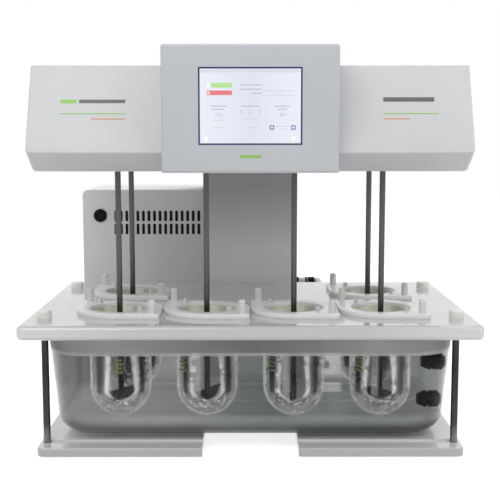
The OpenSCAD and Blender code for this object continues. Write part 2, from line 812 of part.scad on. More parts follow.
// Floor and back panel of the circulator, bent from one sheet
module circulator_chassis() {
    inner = circ_w / 2 - cover_wall - slip_gap;
    mid = (circ_right_x - circ_left) / 2;
    color("whitesmoke") difference() {
        union() {
            circ_panel(circ_back_y - panel_wall);
            block([mid - inner, circ_front_y + panel_wall + slip_gap, floor_z],
                [mid + inner, circ_back_y - 1, floor_z + pan_t]);
        }
        block([inlet_x - inlet_w / 2 + 8, circ_back_y - panel_wall - 1, inlet_z - inlet_h / 2 + 2],
            [inlet_x + inlet_w / 2 - 8, circ_back_y + 1, inlet_z + inlet_h / 2 - 2]);
    }
}

module circulator_cover() {
    front = circ_front_y + panel_wall;
    back = circ_back_y - panel_wall;
    color("whitesmoke") difference() {
        translate([0, back, 0]) rotate([90, 0, 0]) linear_extrude(back - front) difference() {
            circ_outline(floor_z, circ_w, circ_top_z, circ_corner_r);
            circ_outline(floor_z - 1, circ_w - 2 * cover_wall, circ_top_z - cover_wall, circ_corner_r - cover_wall);
        }
        for (z = pipe_end_zs) translate([circ_right_x - 10, pipe_back_y, z]) rotate([0, 90, 0])
            cylinder(h = 20, r = pipe_d / 2 + slip_gap);
    }
}

// Circulation pump: its round head faces the pipe, its motor lies behind it
module circulator_pump() {
    z = pipe_end_zs[0];
    top = floor_z + pan_t;
    head_l = pump_l * 0.26;
    nose = 10;
    color("dimgray") difference() {
        union() {
            translate([pipe_end_x - nose - head_l, pipe_back_y, z]) rotate([0, 90, 0]) cylinder(h = head_l, r = pump_d / 2);
            translate([pipe_end_x - nose - 2, pipe_back_y, z]) rotate([0, 90, 0])
                cylinder(h = nose + 2 - slip_gap, r = pipe_d / 2 + pipe_wall);
            translate([pipe_end_x - nose - pump_l, pipe_back_y, z]) rotate([0, 90, 0])
                cylinder(h = pump_l, r = pump_d / 2 - 4);
            block([pipe_end_x - nose - pump_l * 0.85, pipe_back_y - pump_d * 0.4, top],
                [pipe_end_x - nose - pump_l * 0.4, pipe_back_y + pump_d * 0.4, z]);
        }
        translate([pipe_end_x - nose - head_l * 0.6, pipe_back_y, z]) rotate([0, 90, 0])
            cylinder(h = head_l + nose, r = pipe_d / 2 - pipe_wall);
    }
}

// Heater vessel on a bracket, fed by the upper pipe
module circulator_heater() {
    z = pipe_end_zs[1];
    r = heater_d / 2;
    mid_x = pipe_end_x - 20 - r;
    low = z - 22;
    color("silver") difference() {
        union() {
            translate([mid_x, pipe_back_y, low]) cylinder(h = heater_h - 14, r = r);
            translate([mid_x, pipe_back_y, low + heater_h - 14]) cylinder(h = 14, r = r - 12);
            translate([mid_x, pipe_back_y, z]) rotate([0, 90, 0])
                cylinder(h = pipe_end_x - mid_x - slip_gap, r = pipe_d / 2 + pipe_wall);
            block([mid_x - 8, pipe_back_y + r - 6, floor_z + pan_t], [mid_x + 8, pipe_back_y + r, low + 40]);
        }
        translate([mid_x + r / 2, pipe_back_y, z]) rotate([0, 90, 0]) cylinder(h = r + 20, r = pipe_d / 2 - pipe_wall);
    }
}

module mains_inlet() {
    w = inlet_w - 16 - 2 * hole_gap;
    h = inlet_h - 4 - 2 * hole_gap;
    depth = 24;
    color("#1b1b1b") translate([inlet_x, circ_back_y, inlet_z]) {
        difference() {
            union() {
                rotate([-90, 0, 0]) linear_extrude(3) rounded_rect(inlet_w, inlet_h, 3);
                block([-w / 2, -depth, -h / 2], [w / 2, 0.5, h / 2]);
            }
            block([-w / 2 + 3, -depth + 6, -h / 2 + 3], [w / 2 - 3, 4, h / 2 - 3]);
        }
        for (i = [-1:1]) block([i * 7 - 1, -depth + 5, (i == 0 ? 2 : -2) - 2], [i * 7 + 1, -6, (i == 0 ? 2 : -2) + 2]);
    }
}

module rocker_bezel() {
    color("#151515") translate([rocker_x, circ_front_y, rocker_z]) rotate([90, 0, 0]) difference() {
        union() {
            cylinder(h = rocker_proud, r = rocker_bezel_d / 2);
            translate([0, 0, -18]) cylinder(h = 18.5, r = rocker_hole_d / 2);
        }
        translate([0, 0, -16]) cylinder(h = 30, r = rocker_d / 2 + 0.6);
        rotate([0, 90, 0]) translate([0, 0, -rocker_pin_l / 2 - slip_gap])
            cylinder(h = rocker_pin_l + 2 * slip_gap, r = rocker_pin_d / 2 + run_gap);
    }
}

module power_rocker() {
    color("black") translate([rocker_x, circ_front_y, rocker_z]) rotate([rocker_lean, 0, 0])
        rotate([90, 0, 0]) translate([0, 0, -rocker_t / 2]) {
            cylinder(h = rocker_t, r = rocker_d / 2);
            translate([0, 0, -3]) cylinder(h = 4, r = rocker_d / 2 - 3);
            translate([-rocker_pin_l / 2, 0, rocker_t / 2]) rotate([0, 90, 0])
                cylinder(h = rocker_pin_l, r = rocker_pin_d / 2);
        }
}

module head_floor() {
    play = sheet_wall + slip_gap;
    color("silver") difference() {
        union() {
            block([-head_w / 2 + wing_corner_r, floor_front_y, head_z],
                [head_w / 2 - wing_corner_r, wing_back_y - play, floor_top_z]);
            block([-spine_w / 2 + play, spine_front_y + play, head_z],
                [spine_w / 2 - play, spine_back_y - play, floor_top_z]);
        }
        for (p = stations) translate([p[0], p[1], head_z - 1]) cylinder(h = floor_t + 2, r = shaft_d / 2 + 1);
        translate([0, roller_y, head_z - 1]) cylinder(h = floor_t + 2, r = roller_pin_d / 2 + run_gap);
        translate([0, column_mid_y, head_z - 1]) linear_extrude(floor_t + 2)
            rounded_rect(mast_w + 2 * slip_gap, mast_d + 2 * slip_gap, column_r);
    }
}

module spine_solid(shell) {
    w = spine_w - 2 * shell;
    top = spine_top_z - shell;
    low = head_z - 1 - shell;
    intersection() {
        translate([0, spine_back_y - shell, 0]) rotate([90, 0, 0])
            linear_extrude(spine_back_y - spine_front_y - 2 * shell)
                translate([0, (low + top) / 2]) rounded_rect(w, top - low, spine_r - shell);
        translate([-spine_w, 0, 0]) rotate([90, 0, 90]) linear_extrude(2 * spine_w)
            translate([(spine_front_y + spine_back_y) / 2, (low + top) / 2])
                rounded_rect(spine_back_y - spine_front_y - 2 * shell, top - low, spine_r - shell);
    }
}

module spine_housing() {
    color("#e9ebee") difference() {
        intersection() {
            spine_solid(0);
            block([-spine_w, spine_front_y - 1, head_z], [spine_w, spine_back_y + 1, spine_top_z + 1]);
        }
        intersection() {
            spine_solid(sheet_wall);
            block([-spine_w, spine_front_y - 1, head_z - 9], [spine_w, spine_back_y + 1, spine_top_z + 1]);
        }
        block([-spine_w, floor_front_y - slip_gap, head_z - 1], [spine_w, wing_back_y, floor_top_z + slip_gap]);
        block([-screen_w / 2 - hole_gap, spine_front_y - 1, screen_z - hole_gap],
            [screen_w / 2 + hole_gap, spine_front_y + sheet_wall + 1, screen_z + screen_h + hole_gap]);
        block([-spine_w, crease_y + front_lean + 6, head_z - 1], [spine_w, wing_back_y - 6, wing_top_z - 15]);
    }
}

module display_bezel() {
    color("#141c38") translate([0, spine_front_y, screen_z + screen_h / 2]) rotate([-90, 0, 0])
        linear_extrude(sheet_wall) difference() {
            square([screen_w, screen_h], center = true);
            square([screen_w - 2 * bezel_w, screen_h - 2 * bezel_w], center = true);
        }
}

module touchscreen() {
    color("lavender") block([-screen_w / 2 - panel_lap, spine_front_y + sheet_wall, screen_z - panel_lap],
        [screen_w / 2 + panel_lap, spine_front_y + sheet_wall + panel_t, screen_z + screen_h + panel_lap]);
}

// Shape of one wing, moved inwards by a wall: side outline cut by a front outline with round lower corners
module wing_solid(side, shell) {
    intersection() {
        translate([side > 0 ? 0 : -head_w / 2, 0, 0]) rotate([90, 0, 90])
            linear_extrude(head_w / 2) polygon(inset(wing_outline, shell));
        translate([0, wing_back_y + 1, 0]) rotate([90, 0, 0]) linear_extrude(machine_d)
            translate([0, head_z + wing_h])
                rounded_rect(head_w - 2 * shell, 2 * wing_h - 2 * shell, wing_corner_r - shell);
    }
}

// Sheet cover of one wing, open towards the central housing and over the floor plate
module wing(side) {
    color("white") difference() {
        intersection() {
            wing_solid(side, 0);
            block([side > 0 ? spine_w / 2 : -head_w / 2 - 1, deck_front_y, head_z],
                [side > 0 ? head_w / 2 + 1 : -spine_w / 2, wing_back_y, wing_top_z]);
        }
        wing_solid(side, sheet_wall);
        block([-head_w / 2 + wing_corner_r - slip_gap, floor_front_y - slip_gap, head_z - 1],
            [head_w / 2 - wing_corner_r + slip_gap, wing_back_y - sheet_wall, head_z + sheet_wall + 1]);
    }
}

module bearing_units() {
    color("gray") for (p = stations) translate([p[0], p[1], floor_top_z]) difference() {
        union() {
            cylinder(h = bearing_h, r = bearing_d / 2);
            cylinder(h = bearing_flange_t, r = bearing_flange_d / 2);
        }
        translate([0, 0, -1]) cylinder(h = bearing_h + 2, r = spindle_d / 2 + run_gap);
    }
}

// Toothed wheel between two flanges, standing on z = 0
module toothed_wheel(teeth) {
    r = pitch_r(teeth);
    step = 360 / teeth;
    root = r - tooth_h;
    points = [
        for (i = [0:teeth - 1], q = [[-0.30, root], [-0.20, r], [0.20, r], [0.30, root]])
            q[1] * [cos((i + q[0]) * step), sin((i + q[0]) * step)]
    ];
    linear_extrude(pulley_h) polygon(points);
    for (z = [-flange_t, pulley_h]) translate([0, 0, z]) cylinder(h = flange_t, r = r + pulley_flange);
}

module spindle(k) {
    p = stations[k];
    color("lightslategray") translate([p[0], p[1], 0]) difference() {
        union() {
            translate([0, 0, spindle_z]) cylinder(h = spindle_top_z - spindle_z, r = spindle_d / 2);
            translate([0, 0, pulley_z]) toothed_wheel(spindle_teeth);
            translate([0, 0, spindle_top_z - clamp_h - 4]) cylinder(h = clamp_h, r = clamp_d / 2);
            translate([0, 0, floor_top_z + bearing_h + slip_gap])
                cylinder(h = pulley_z - floor_top_z - bearing_h - slip_gap, r = spindle_d / 2 + 4);
        }
        translate([0, 0, spindle_z - 1]) cylinder(h = spindle_top_z - spindle_z + 2, r = shaft_d / 2 + run_gap);
        translate([0, 0, spindle_top_z - 4 - clamp_h / 2]) rotate([0, 90, 0])
            cylinder(h = clamp_d, r = 2.5);
    }
}

// Stirrer: a shaft with a flat blade whose ends are arcs about a point on the shaft
module paddle(k) {
    p = stations[k];
    low = vessel_bottom_z + vessel_wall + blade_gap;
    arc_drop = sqrt(pow(blade_r, 2) - pow(blade_w / 2, 2));
    color("silver") translate([p[0], p[1], low]) {
        cylinder(h = paddle_top_z - low, r = shaft_d / 2);
        rotate([90, 0, blade_angles[k]]) translate([0, 0, -blade_t / 2]) linear_extrude(blade_t) intersection() {
            translate([0, blade_h + arc_drop]) circle(blade_r);
            translate([-blade_w, 0]) square([2 * blade_w, blade_h]);
        }
    }
}

module drive_motor() {
    color("#303338") translate([0, motor_y, floor_top_z]) difference() {
        linear_extrude(motor_h) rounded_rect(motor_box_w, motor_box_w, 4);
        translate([0, 0, motor_h - motor_seat - slip_gap]) cylinder(h = motor_seat + 2, r = motor_shaft_d / 2 + run_gap);
    }
}

module drive_pulley() {
    color("silver") translate([0, motor_y, 0]) {
        translate([0, 0, floor_top_z + motor_h - motor_seat])
            cylinder(h = pulley_z + pulley_h + 6 - floor_top_z - motor_h + motor_seat, r = motor_shaft_d / 2);
        translate([0, 0, pulley_z]) toothed_wheel(motor_teeth);
    }
}

module drive_belt() {
    color("#222222") translate([0, 0, belt_z]) linear_extrude(belt_w) difference() {
        polygon(belt_line(belt_stops, belt_radii(belt_t)));
        polygon(belt_line(belt_stops, belt_radii(0)));
    }
}

module tension_roller() {
    color("silver") translate([0, roller_y, 0]) {
        translate([0, 0, pulley_z]) cylinder(h = pulley_h, r = roller_d / 2);
        for (z = [pulley_z - flange_t, pulley_z + pulley_h])
            translate([0, 0, z]) cylinder(h = flange_t, r = roller_d / 2 + pulley_flange);
        translate([0, 0, head_z]) cylinder(h = pulley_z - head_z, r = roller_pin_d / 2);
        translate([0, 0, floor_top_z + slip_gap])
            cylinder(h = pulley_z - floor_top_z - slip_gap, r = roller_pin_d / 2 + 3);
    }
}

base_pads();
base_plate();
base_sheet();
posts();
post_knobs();
deck();
bath();
bath_fittings();
water_pipes();
ring_pegs();
rim_lugs();
column_foot();
column_shell();
lift_motor();
circulator_chassis();
circulator_cover();
circulator_front();
circulator_pump();
circulator_heater();
mains_inlet();
rocker_bezel();
power_rocker();
vessel(0);  // vessel_1
vessel(1);  // vessel_2
vessel(2);  // vessel_3
vessel(3);  // vessel_4
vessel(4);  // vessel_5
vessel(5);  // vessel_6
ring_plate(0);  // ring_plate_1
ring_plate(1);  // ring_plate_2
ring_plate(2);  // ring_plate_3
ring_plate(3);  // ring_plate_4
ring_plate(4);  // ring_plate_5
ring_plate(5);  // ring_plate_6
head_floor();
spine_housing();
wing(-1);  // wing_left
wing(1);  // wing_right
display_bezel();
touchscreen();
mast();
lift_nut();
lead_screw();
bearing_units();
drive_motor();
drive_pulley();
drive_belt();
tension_roller();
spindle(0);  // spindle_1
spindle(1);  // spindle_2
spindle(2);  // spindle_3
spindle(3);  // spindle_4
spindle(4);  // spindle_5
spindle(5);  // spindle_6
paddle(0);  // paddle_1
paddle(1);  // paddle_2
paddle(2);  // paddle_3
paddle(3);  // paddle_4
paddle(4);  // paddle_5
paddle(5);  // paddle_6
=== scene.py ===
"""Dissolution tester: the look of each piece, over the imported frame. Metres, +Z up, the screen faces -Y."""
import bpy
import bmesh
import math
from mathutils import Matrix, Vector


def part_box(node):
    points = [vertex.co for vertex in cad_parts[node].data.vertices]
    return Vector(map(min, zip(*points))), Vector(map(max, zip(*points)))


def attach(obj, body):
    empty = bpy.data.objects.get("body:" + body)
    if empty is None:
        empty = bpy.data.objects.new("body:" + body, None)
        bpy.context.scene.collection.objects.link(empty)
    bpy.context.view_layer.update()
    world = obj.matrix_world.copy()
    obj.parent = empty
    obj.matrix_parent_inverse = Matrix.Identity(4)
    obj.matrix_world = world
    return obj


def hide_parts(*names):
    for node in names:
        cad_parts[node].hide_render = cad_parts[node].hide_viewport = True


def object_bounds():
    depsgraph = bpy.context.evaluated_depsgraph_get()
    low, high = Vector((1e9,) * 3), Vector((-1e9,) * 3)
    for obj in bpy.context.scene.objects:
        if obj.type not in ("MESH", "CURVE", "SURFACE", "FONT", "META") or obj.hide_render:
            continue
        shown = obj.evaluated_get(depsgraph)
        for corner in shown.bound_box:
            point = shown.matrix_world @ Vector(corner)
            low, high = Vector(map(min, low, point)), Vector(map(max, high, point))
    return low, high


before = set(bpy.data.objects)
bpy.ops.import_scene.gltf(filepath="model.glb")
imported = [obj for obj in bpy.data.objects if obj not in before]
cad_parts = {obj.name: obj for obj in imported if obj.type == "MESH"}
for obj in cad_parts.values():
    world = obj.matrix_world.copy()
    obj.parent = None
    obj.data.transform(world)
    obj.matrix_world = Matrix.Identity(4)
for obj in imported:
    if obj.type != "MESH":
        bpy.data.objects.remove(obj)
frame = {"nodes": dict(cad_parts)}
cad_low, cad_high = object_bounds()
nodes = frame["nodes"]


def add_object(name, data):
    """Puts a new object with this data in the scene."""
    made = bpy.data.objects.new(name, data)
    bpy.context.scene.collection.objects.link(made)
    return made


# Camera, at the photograph's place
camera = add_object("camera", bpy.data.cameras.new("camera"))
camera.data.lens = 70.0
camera.data.sensor_width = 36.0
camera.data.clip_end = 50.0
camera.location = (-0.00266, -1.89905, 0.5317)
camera.rotation_euler = (math.radians(83.34), math.radians(0.04), math.radians(-0.08))
bpy.context.scene.camera = camera


# Sizes of the pieces made here
BATH_RIM, BATH_FEET, BATH_WALL = 0.005, 0.008, 0.003
BATH_DEPTH, BATH_LEAN = 0.352, 0.017
BATH_CORNER, BATH_FOOT = 0.075, 0.028  # round of the upright corners and of the lower edge
WATER_INSET, WATER_TOP = 0.0036, 0.168
PIPE_ZS = (0.073, 0.130)
STATION_PITCH, FRONT_ROW, BACK_ROW = 0.15, -0.244, -0.056
GLASS_OUT, GLASS_IN = 0.053, 0.051
WING_CHAMFER, WING_LEAN, CREASE_RISE = 0.046, 0.060, 0.031
COVER_RISE = 0.0004  # of the covers' lower edges over the underside of the head's floor plate
SCREEN = (-0.081, 0.081, 0.5185, 0.6385)
PANEL_MIDDLE = 0.5785
SHAPE_DEPTH = 0.0002  # of a shape or number on the screen
RULE_PROUD, RULE_SUNK = 0.0003, 0.0002

# Places taken from the frame
DECK_LOW, DECK_TOP = (corner.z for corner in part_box("deck"))
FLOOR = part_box("head_floor")[0].z
(WING_OUT, CREASE_Y, _), (_, WING_BACK, WING_TOP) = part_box("wing_left")
(SPINE_SIDE, SPINE_FRONT, _), (_, SPINE_BACK, SPINE_TOP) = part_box("spine_housing")
SCREEN_FACE = SPINE_FRONT + 0.0022
BATH_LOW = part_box("bath")[0].z + BATH_FEET
BATH_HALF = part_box("bath")[1].x - BATH_RIM
BATH_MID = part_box("bath")[0].y + BATH_RIM + BATH_DEPTH / 2
VESSEL_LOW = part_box("vessel_1")[0].z
PIPE_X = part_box("water_pipes")[1].x - 0.007

# Vessels 1 to 4 stand in the front row, 5 and 6 behind the outer two
STATIONS = [(i * STATION_PITCH, FRONT_ROW) for i in (-1.5, -0.5, 0.5, 1.5)] + [
    (i * STATION_PITCH, BACK_ROW) for i in (-1.5, 1.5)]

# Shares and tones that materials use more than once
BACK_SHARE = 0.93  # of the bath's depth: the back wall lies beyond it
BAND_SHARE, LINE_SHARE = 0.187, 0.217  # of the bath's height: the band above the water, and the pale line under it
DARK = (0.0, 0.0, 0.0)
SCREEN_OFF = (0.02, 0.02, 0.02)


# Materials

class Value:
    """A node's output. Arithmetic on it adds Math nodes."""

    def __init__(self, nodes, socket):
        self.nodes, self.socket = nodes, socket

    def __add__(self, other):
        return self.nodes.math("ADD", self, other)

    def __sub__(self, other):
        return self.nodes.math("SUBTRACT", self, other)

    def __rsub__(self, other):
        return self.nodes.math("SUBTRACT", other, self)

    def __mul__(self, other):
        return self.nodes.math("MULTIPLY", self, other)

    def __truediv__(self, other):
        return self.nodes.math("DIVIDE", self, other)

    def __rtruediv__(self, other):
        return self.nodes.math("DIVIDE", other, self)

    def __gt__(self, other):
        return self.nodes.math("GREATER_THAN", self, other)

    def __lt__(self, other):
        return self.nodes.math("LESS_THAN", self, other)

    __radd__ = __add__
    __rmul__ = __mul__


class Nodes:
    """A node tree, to which node() adds nodes."""

    def __init__(self, tree):
        self.tree = tree

    def node(self, kind, settings, inputs, output=0):
        """Makes a node from its type, its settings and its sockets' values or links."""
        made = self.tree.nodes.new(kind)
        for key, value in settings.items():
            if key == "stops":
                while len(made.color_ramp.elements) < len(value):
                    made.color_ramp.elements.new(0.5)
                for element, (place, color) in zip(made.color_ramp.elements, value):
                    element.position, element.color = place, (*color, 1.0)
            else:
                setattr(made, key, value)
        for key, value in inputs.items():
            if isinstance(value, Value):
                self.tree.links.new(value.socket, made.inputs[key])
            else:
                made.inputs[key].default_value = value
        return Value(self, made.outputs[output])

    def math(self, operation, *values):
        return self.node("ShaderNodeMath", {"operation": operation}, dict(enumerate(values)))

    def largest(self, *values):
        most = values[0]
        for value in values[1:]:
            most = self.math("MAXIMUM", most, value)
        return most

    def rays(self, *kinds):
        """For each kind of ray, a value that is 1 for such a ray and 0 for others."""
        first = self.node("ShaderNodeLightPath", {}, {})
        return [Value(self, first.socket.node.outputs["Is %s Ray" % kind]) for kind in kinds]


class Finish(Nodes):
    """One material on a Principled shader."""

    def __init__(self, name, color, roughness, **sockets):
        self.material = bpy.data.materials.new(name)
        self.material.use_nodes = True
        super().__init__(self.material.node_tree)
        self.shader = self.tree.nodes["Principled BSDF"]
        self.mottle(tuple(0.97 * c for c in color), tuple(1.03 * c for c in color), 16.0)
        self.set("Roughness", roughness)
        for key, value in sockets.items():
            self.set(key.replace("_", " ").title().replace("Ior", "IOR"), value)

    def set(self, socket, value):
        """Gives a socket of the shader a value or a link."""
        target = self.shader.inputs[socket]
        if isinstance(value, Value):
            self.tree.links.new(value.socket, target)
        elif target.type == "RGBA":
            target.default_value = (*value, 1.0)
        else:
            target.default_value = value

    def place(self):
        """Object coordinates, which are the row frame in metres."""
        return self.node("ShaderNodeTexCoord", {}, {}, "Object")

    def noise(self, scale, detail=2.0):
        return self.node("ShaderNodeTexNoise", {}, {"Vector": self.place(), "Scale": scale, "Detail": detail})

    def axes(self):
        """The place as separate X, Y and Z."""
        first = self.node("ShaderNodeSeparateXYZ", {}, {"Vector": self.place()})
        return [Value(self, output) for output in first.socket.node.outputs]

    def ramp(self, value, stops):
        """A colour ramp. A stop is (place, grey) or (place, (red, green, blue))."""
        colors = [(place, tone if isinstance(tone, tuple) else (tone,) * 3) for place, tone in stops]
        return self.node("ShaderNodeValToRGB", {"stops": colors}, {"Fac": value})

    def blend(self, factor, under, over):
        """The colour over laid on the colour under, by a factor."""
        under, over = [c if isinstance(c, Value) else (*c, 1.0) for c in (under, over)]
        return self.node("ShaderNodeMix", {"data_type": "RGBA"}, {0: factor, 6: under, 7: over}, 2)

    def facing(self):
        """0 where the surface faces the eye, 1 along its outline."""
        return self.node("ShaderNodeLayerWeight", {}, {"Blend": 0.5}, "Facing")

    def streaks(self, scale):
        """Noise drawn out along the height."""
        place = self.node("ShaderNodeMapping", {}, {"Vector": self.place(), "Scale": (scale, scale, scale * 0.1)})
        return self.node("ShaderNodeTexNoise", {}, {"Vector": place, "Scale": 1.0, "Detail": 3.0})

    def mottle(self, dark, light, scale):
        """Two near tones, mixed by a soft noise."""
        self.set("Base Color", self.ramp(self.noise(scale), [(0.35, dark), (0.65, light)]))
        return self

    def brushed(self, low, high, scale=400.0):
        """Roughness in fine streaks along the height."""
        self.set("Roughness", self.ramp(self.streaks(scale), [(0.3, low), (0.7, high)]))
        return self

    def grain(self, scale, strength):
        """Fine bumps of a sprayed or moulded surface."""
        self.set("Normal", self.node("ShaderNodeBump", {}, {
            "Strength": strength, "Distance": 0.0004, "Height": self.noise(scale, 3.0)}))
        return self

    def by_height(self, spread, stops, noise_scale=0.0, waver=0.0):
        """Colours by the height times spread, which wavers with a noise if there is one."""
        level = self.axes()[2] * spread
        if noise_scale:
            level = level + self.noise(noise_scale) * waver
        self.set("Base Color", self.ramp(level, stops))
        return self


def between(value, low, high):
    """1 where a value lies between two numbers, elsewhere 0."""
    return (value > low) * (value < high)


# Finishes that are alike all over a piece
wing_paint = Finish("wing_paint", (0.64, 0.65, 0.66), 0.42).mottle(
    (0.63, 0.64, 0.65), (0.65, 0.66, 0.67), 6.0).grain(900.0, 0.06)
spine_paint = Finish("spine_paint", (0.56, 0.58, 0.61), 0.4).mottle(
    (0.55, 0.57, 0.6), (0.57, 0.59, 0.62), 6.0).grain(900.0, 0.06)
ring_plastic = Finish("ring_plastic", (0.84, 0.85, 0.84), 0.3, coat_weight=0.3, coat_roughness=0.15).mottle(
    (0.83, 0.84, 0.83), (0.85, 0.86, 0.85), 14.0)
peg_plastic = Finish("peg_plastic", (0.7, 0.7, 0.69), 0.35).grain(500.0, 0.05)
lug_plastic = Finish("lug_plastic", (0.78, 0.81, 0.79), 0.25, alpha=0.75).grain(400.0, 0.05)
knob_plastic = Finish("knob_plastic", (0.88, 0.88, 0.82), 0.3, coat_weight=0.3).grain(500.0, 0.05)
plain_metal = Finish("plain_metal", (0.5, 0.5, 0.5), 0.35, metallic=1.0).brushed(0.28, 0.42)
bronze = Finish("bronze", (0.5, 0.34, 0.15), 0.35, metallic=1.0).brushed(0.3, 0.42)
motor_shell = Finish("motor_shell", (0.03, 0.03, 0.035), 0.4).grain(600.0, 0.12)
black_plastic = Finish("black_plastic", (0.005, 0.0055, 0.006), 0.55, specular_ior_level=0.12).grain(600.0, 0.1)
vent_dark = Finish("vent_dark", (0.008, 0.009, 0.01), 0.7).grain(300.0, 0.1)
rubber = Finish("rubber", (0.02, 0.02, 0.02), 0.75).grain(800.0, 0.2)
pipe_plastic = Finish("pipe_plastic", (0.55, 0.57, 0.57), 0.35)
bath_water = Finish("bath_water", (0.2, 0.23, 0.23), 0.03, alpha=0.015)
mark_green = Finish("mark_green", (0.16, 0.2, 0.03), 0.5)
bezel_blue = Finish("bezel_blue", (0.02, 0.03, 0.12), 0.3)
trim_green = Finish("trim_green", (0.28, 0.6, 0.07), 0.4)
trim_orange = Finish("trim_orange", (0.72, 0.24, 0.03), 0.4)
trim_grey = Finish("trim_grey", (0.13, 0.13, 0.14), 0.4)

# Finishes whose tone changes with the height, where light and shade are painted in
# Painted shade: the column grows darker towards the top, under the head.
column_paint_shaded_under_head = Finish("column_paint_shaded_under_head", (0.6, 0.6, 0.6), 0.45).grain(700.0, 0.08).by_height(
    2.0, [(0.45, 0.84), (0.62, 0.8), (0.75, 0.58), (0.88, 0.42)], 9.0, 0.05)
# Painted light and shade: paler above about 17 mm (the top of the base sheet), darker on the plate's lower faces.
base_gloss_lit_top = Finish("base_gloss_lit_top", (0.6, 0.6, 0.61), 0.2, coat_weight=0.6, coat_roughness=0.06).by_height(
    50.0, [(0.8, (0.5, 0.5, 0.51)), (0.86, (0.72, 0.72, 0.73))], 8.0, 0.02)
# Painted reflection: the steel is darkened as if it mirrored a dark room, and made paler at the foot as if it
# mirrored the base.
post_steel_painted_reflection = Finish("post_steel_painted_reflection", (0.035, 0.037, 0.036), 0.3, metallic=1.0).brushed(0.24, 0.4).by_height(
    4.0, [(0.08, 0.2), (0.2, 0.05), (0.6, 0.03), (0.85, 0.045)])
# Painted shade: shafts and blades darker below the deck, and a little darker again up under the head.
shaft_steel_painted_shade = Finish("shaft_steel_painted_shade", (0.1, 0.1, 0.1), 0.3, metallic=1.0).brushed(0.26, 0.42).by_height(
    2.0, [(0.38, (0.022, 0.026, 0.024)), (0.46, (0.075, 0.074, 0.07)),
          (0.7, (0.1, 0.098, 0.094)), (0.94, (0.085, 0.084, 0.082))])


def circulator_finish():
    """Paint, with painted light: the lid paler where light from above falls, and a dark line along the front fold.
    """
    made = Finish("circulator_paint_lit_top", (0.72, 0.72, 0.71), 0.45).grain(700.0, 0.08)
    fold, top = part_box("circulator_cover")[0].y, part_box("circulator_cover")[1].z
    _, depth, level = made.axes()
    # Painted light: the lid's top face is paler than the same paint elsewhere.
    paint_with_lit_top = made.blend(level > top - 0.0004, (0.72, 0.72, 0.71), (0.9, 0.9, 0.9))
    fold_line = between(depth, fold - 0.0006, fold + 0.0009)
    made.set("Base Color", made.blend(fold_line, paint_with_lit_top, (0.2, 0.2, 0.2)))
    return made


def deck_finish():
    """Glossy slab, with a painted highlight along its edge that grows towards both ends."""
    made = Finish("deck_gloss_edge_highlight", (0.55, 0.56, 0.56), 0.16, coat_weight=0.7, coat_roughness=0.04)
    across, _, level = made.axes()
    # Painted highlight: the edge faces below the top grow paler towards both ends.
    ends = made.math("ABSOLUTE", across) / cad_high.x * (level < DECK_TOP - 0.002)
    made.set("Base Color", made.ramp(
        ends + made.noise(8.0) * 0.1, [(0.5, (0.55, 0.56, 0.56)), (0.95, (0.68, 0.69, 0.69))]))
    return made


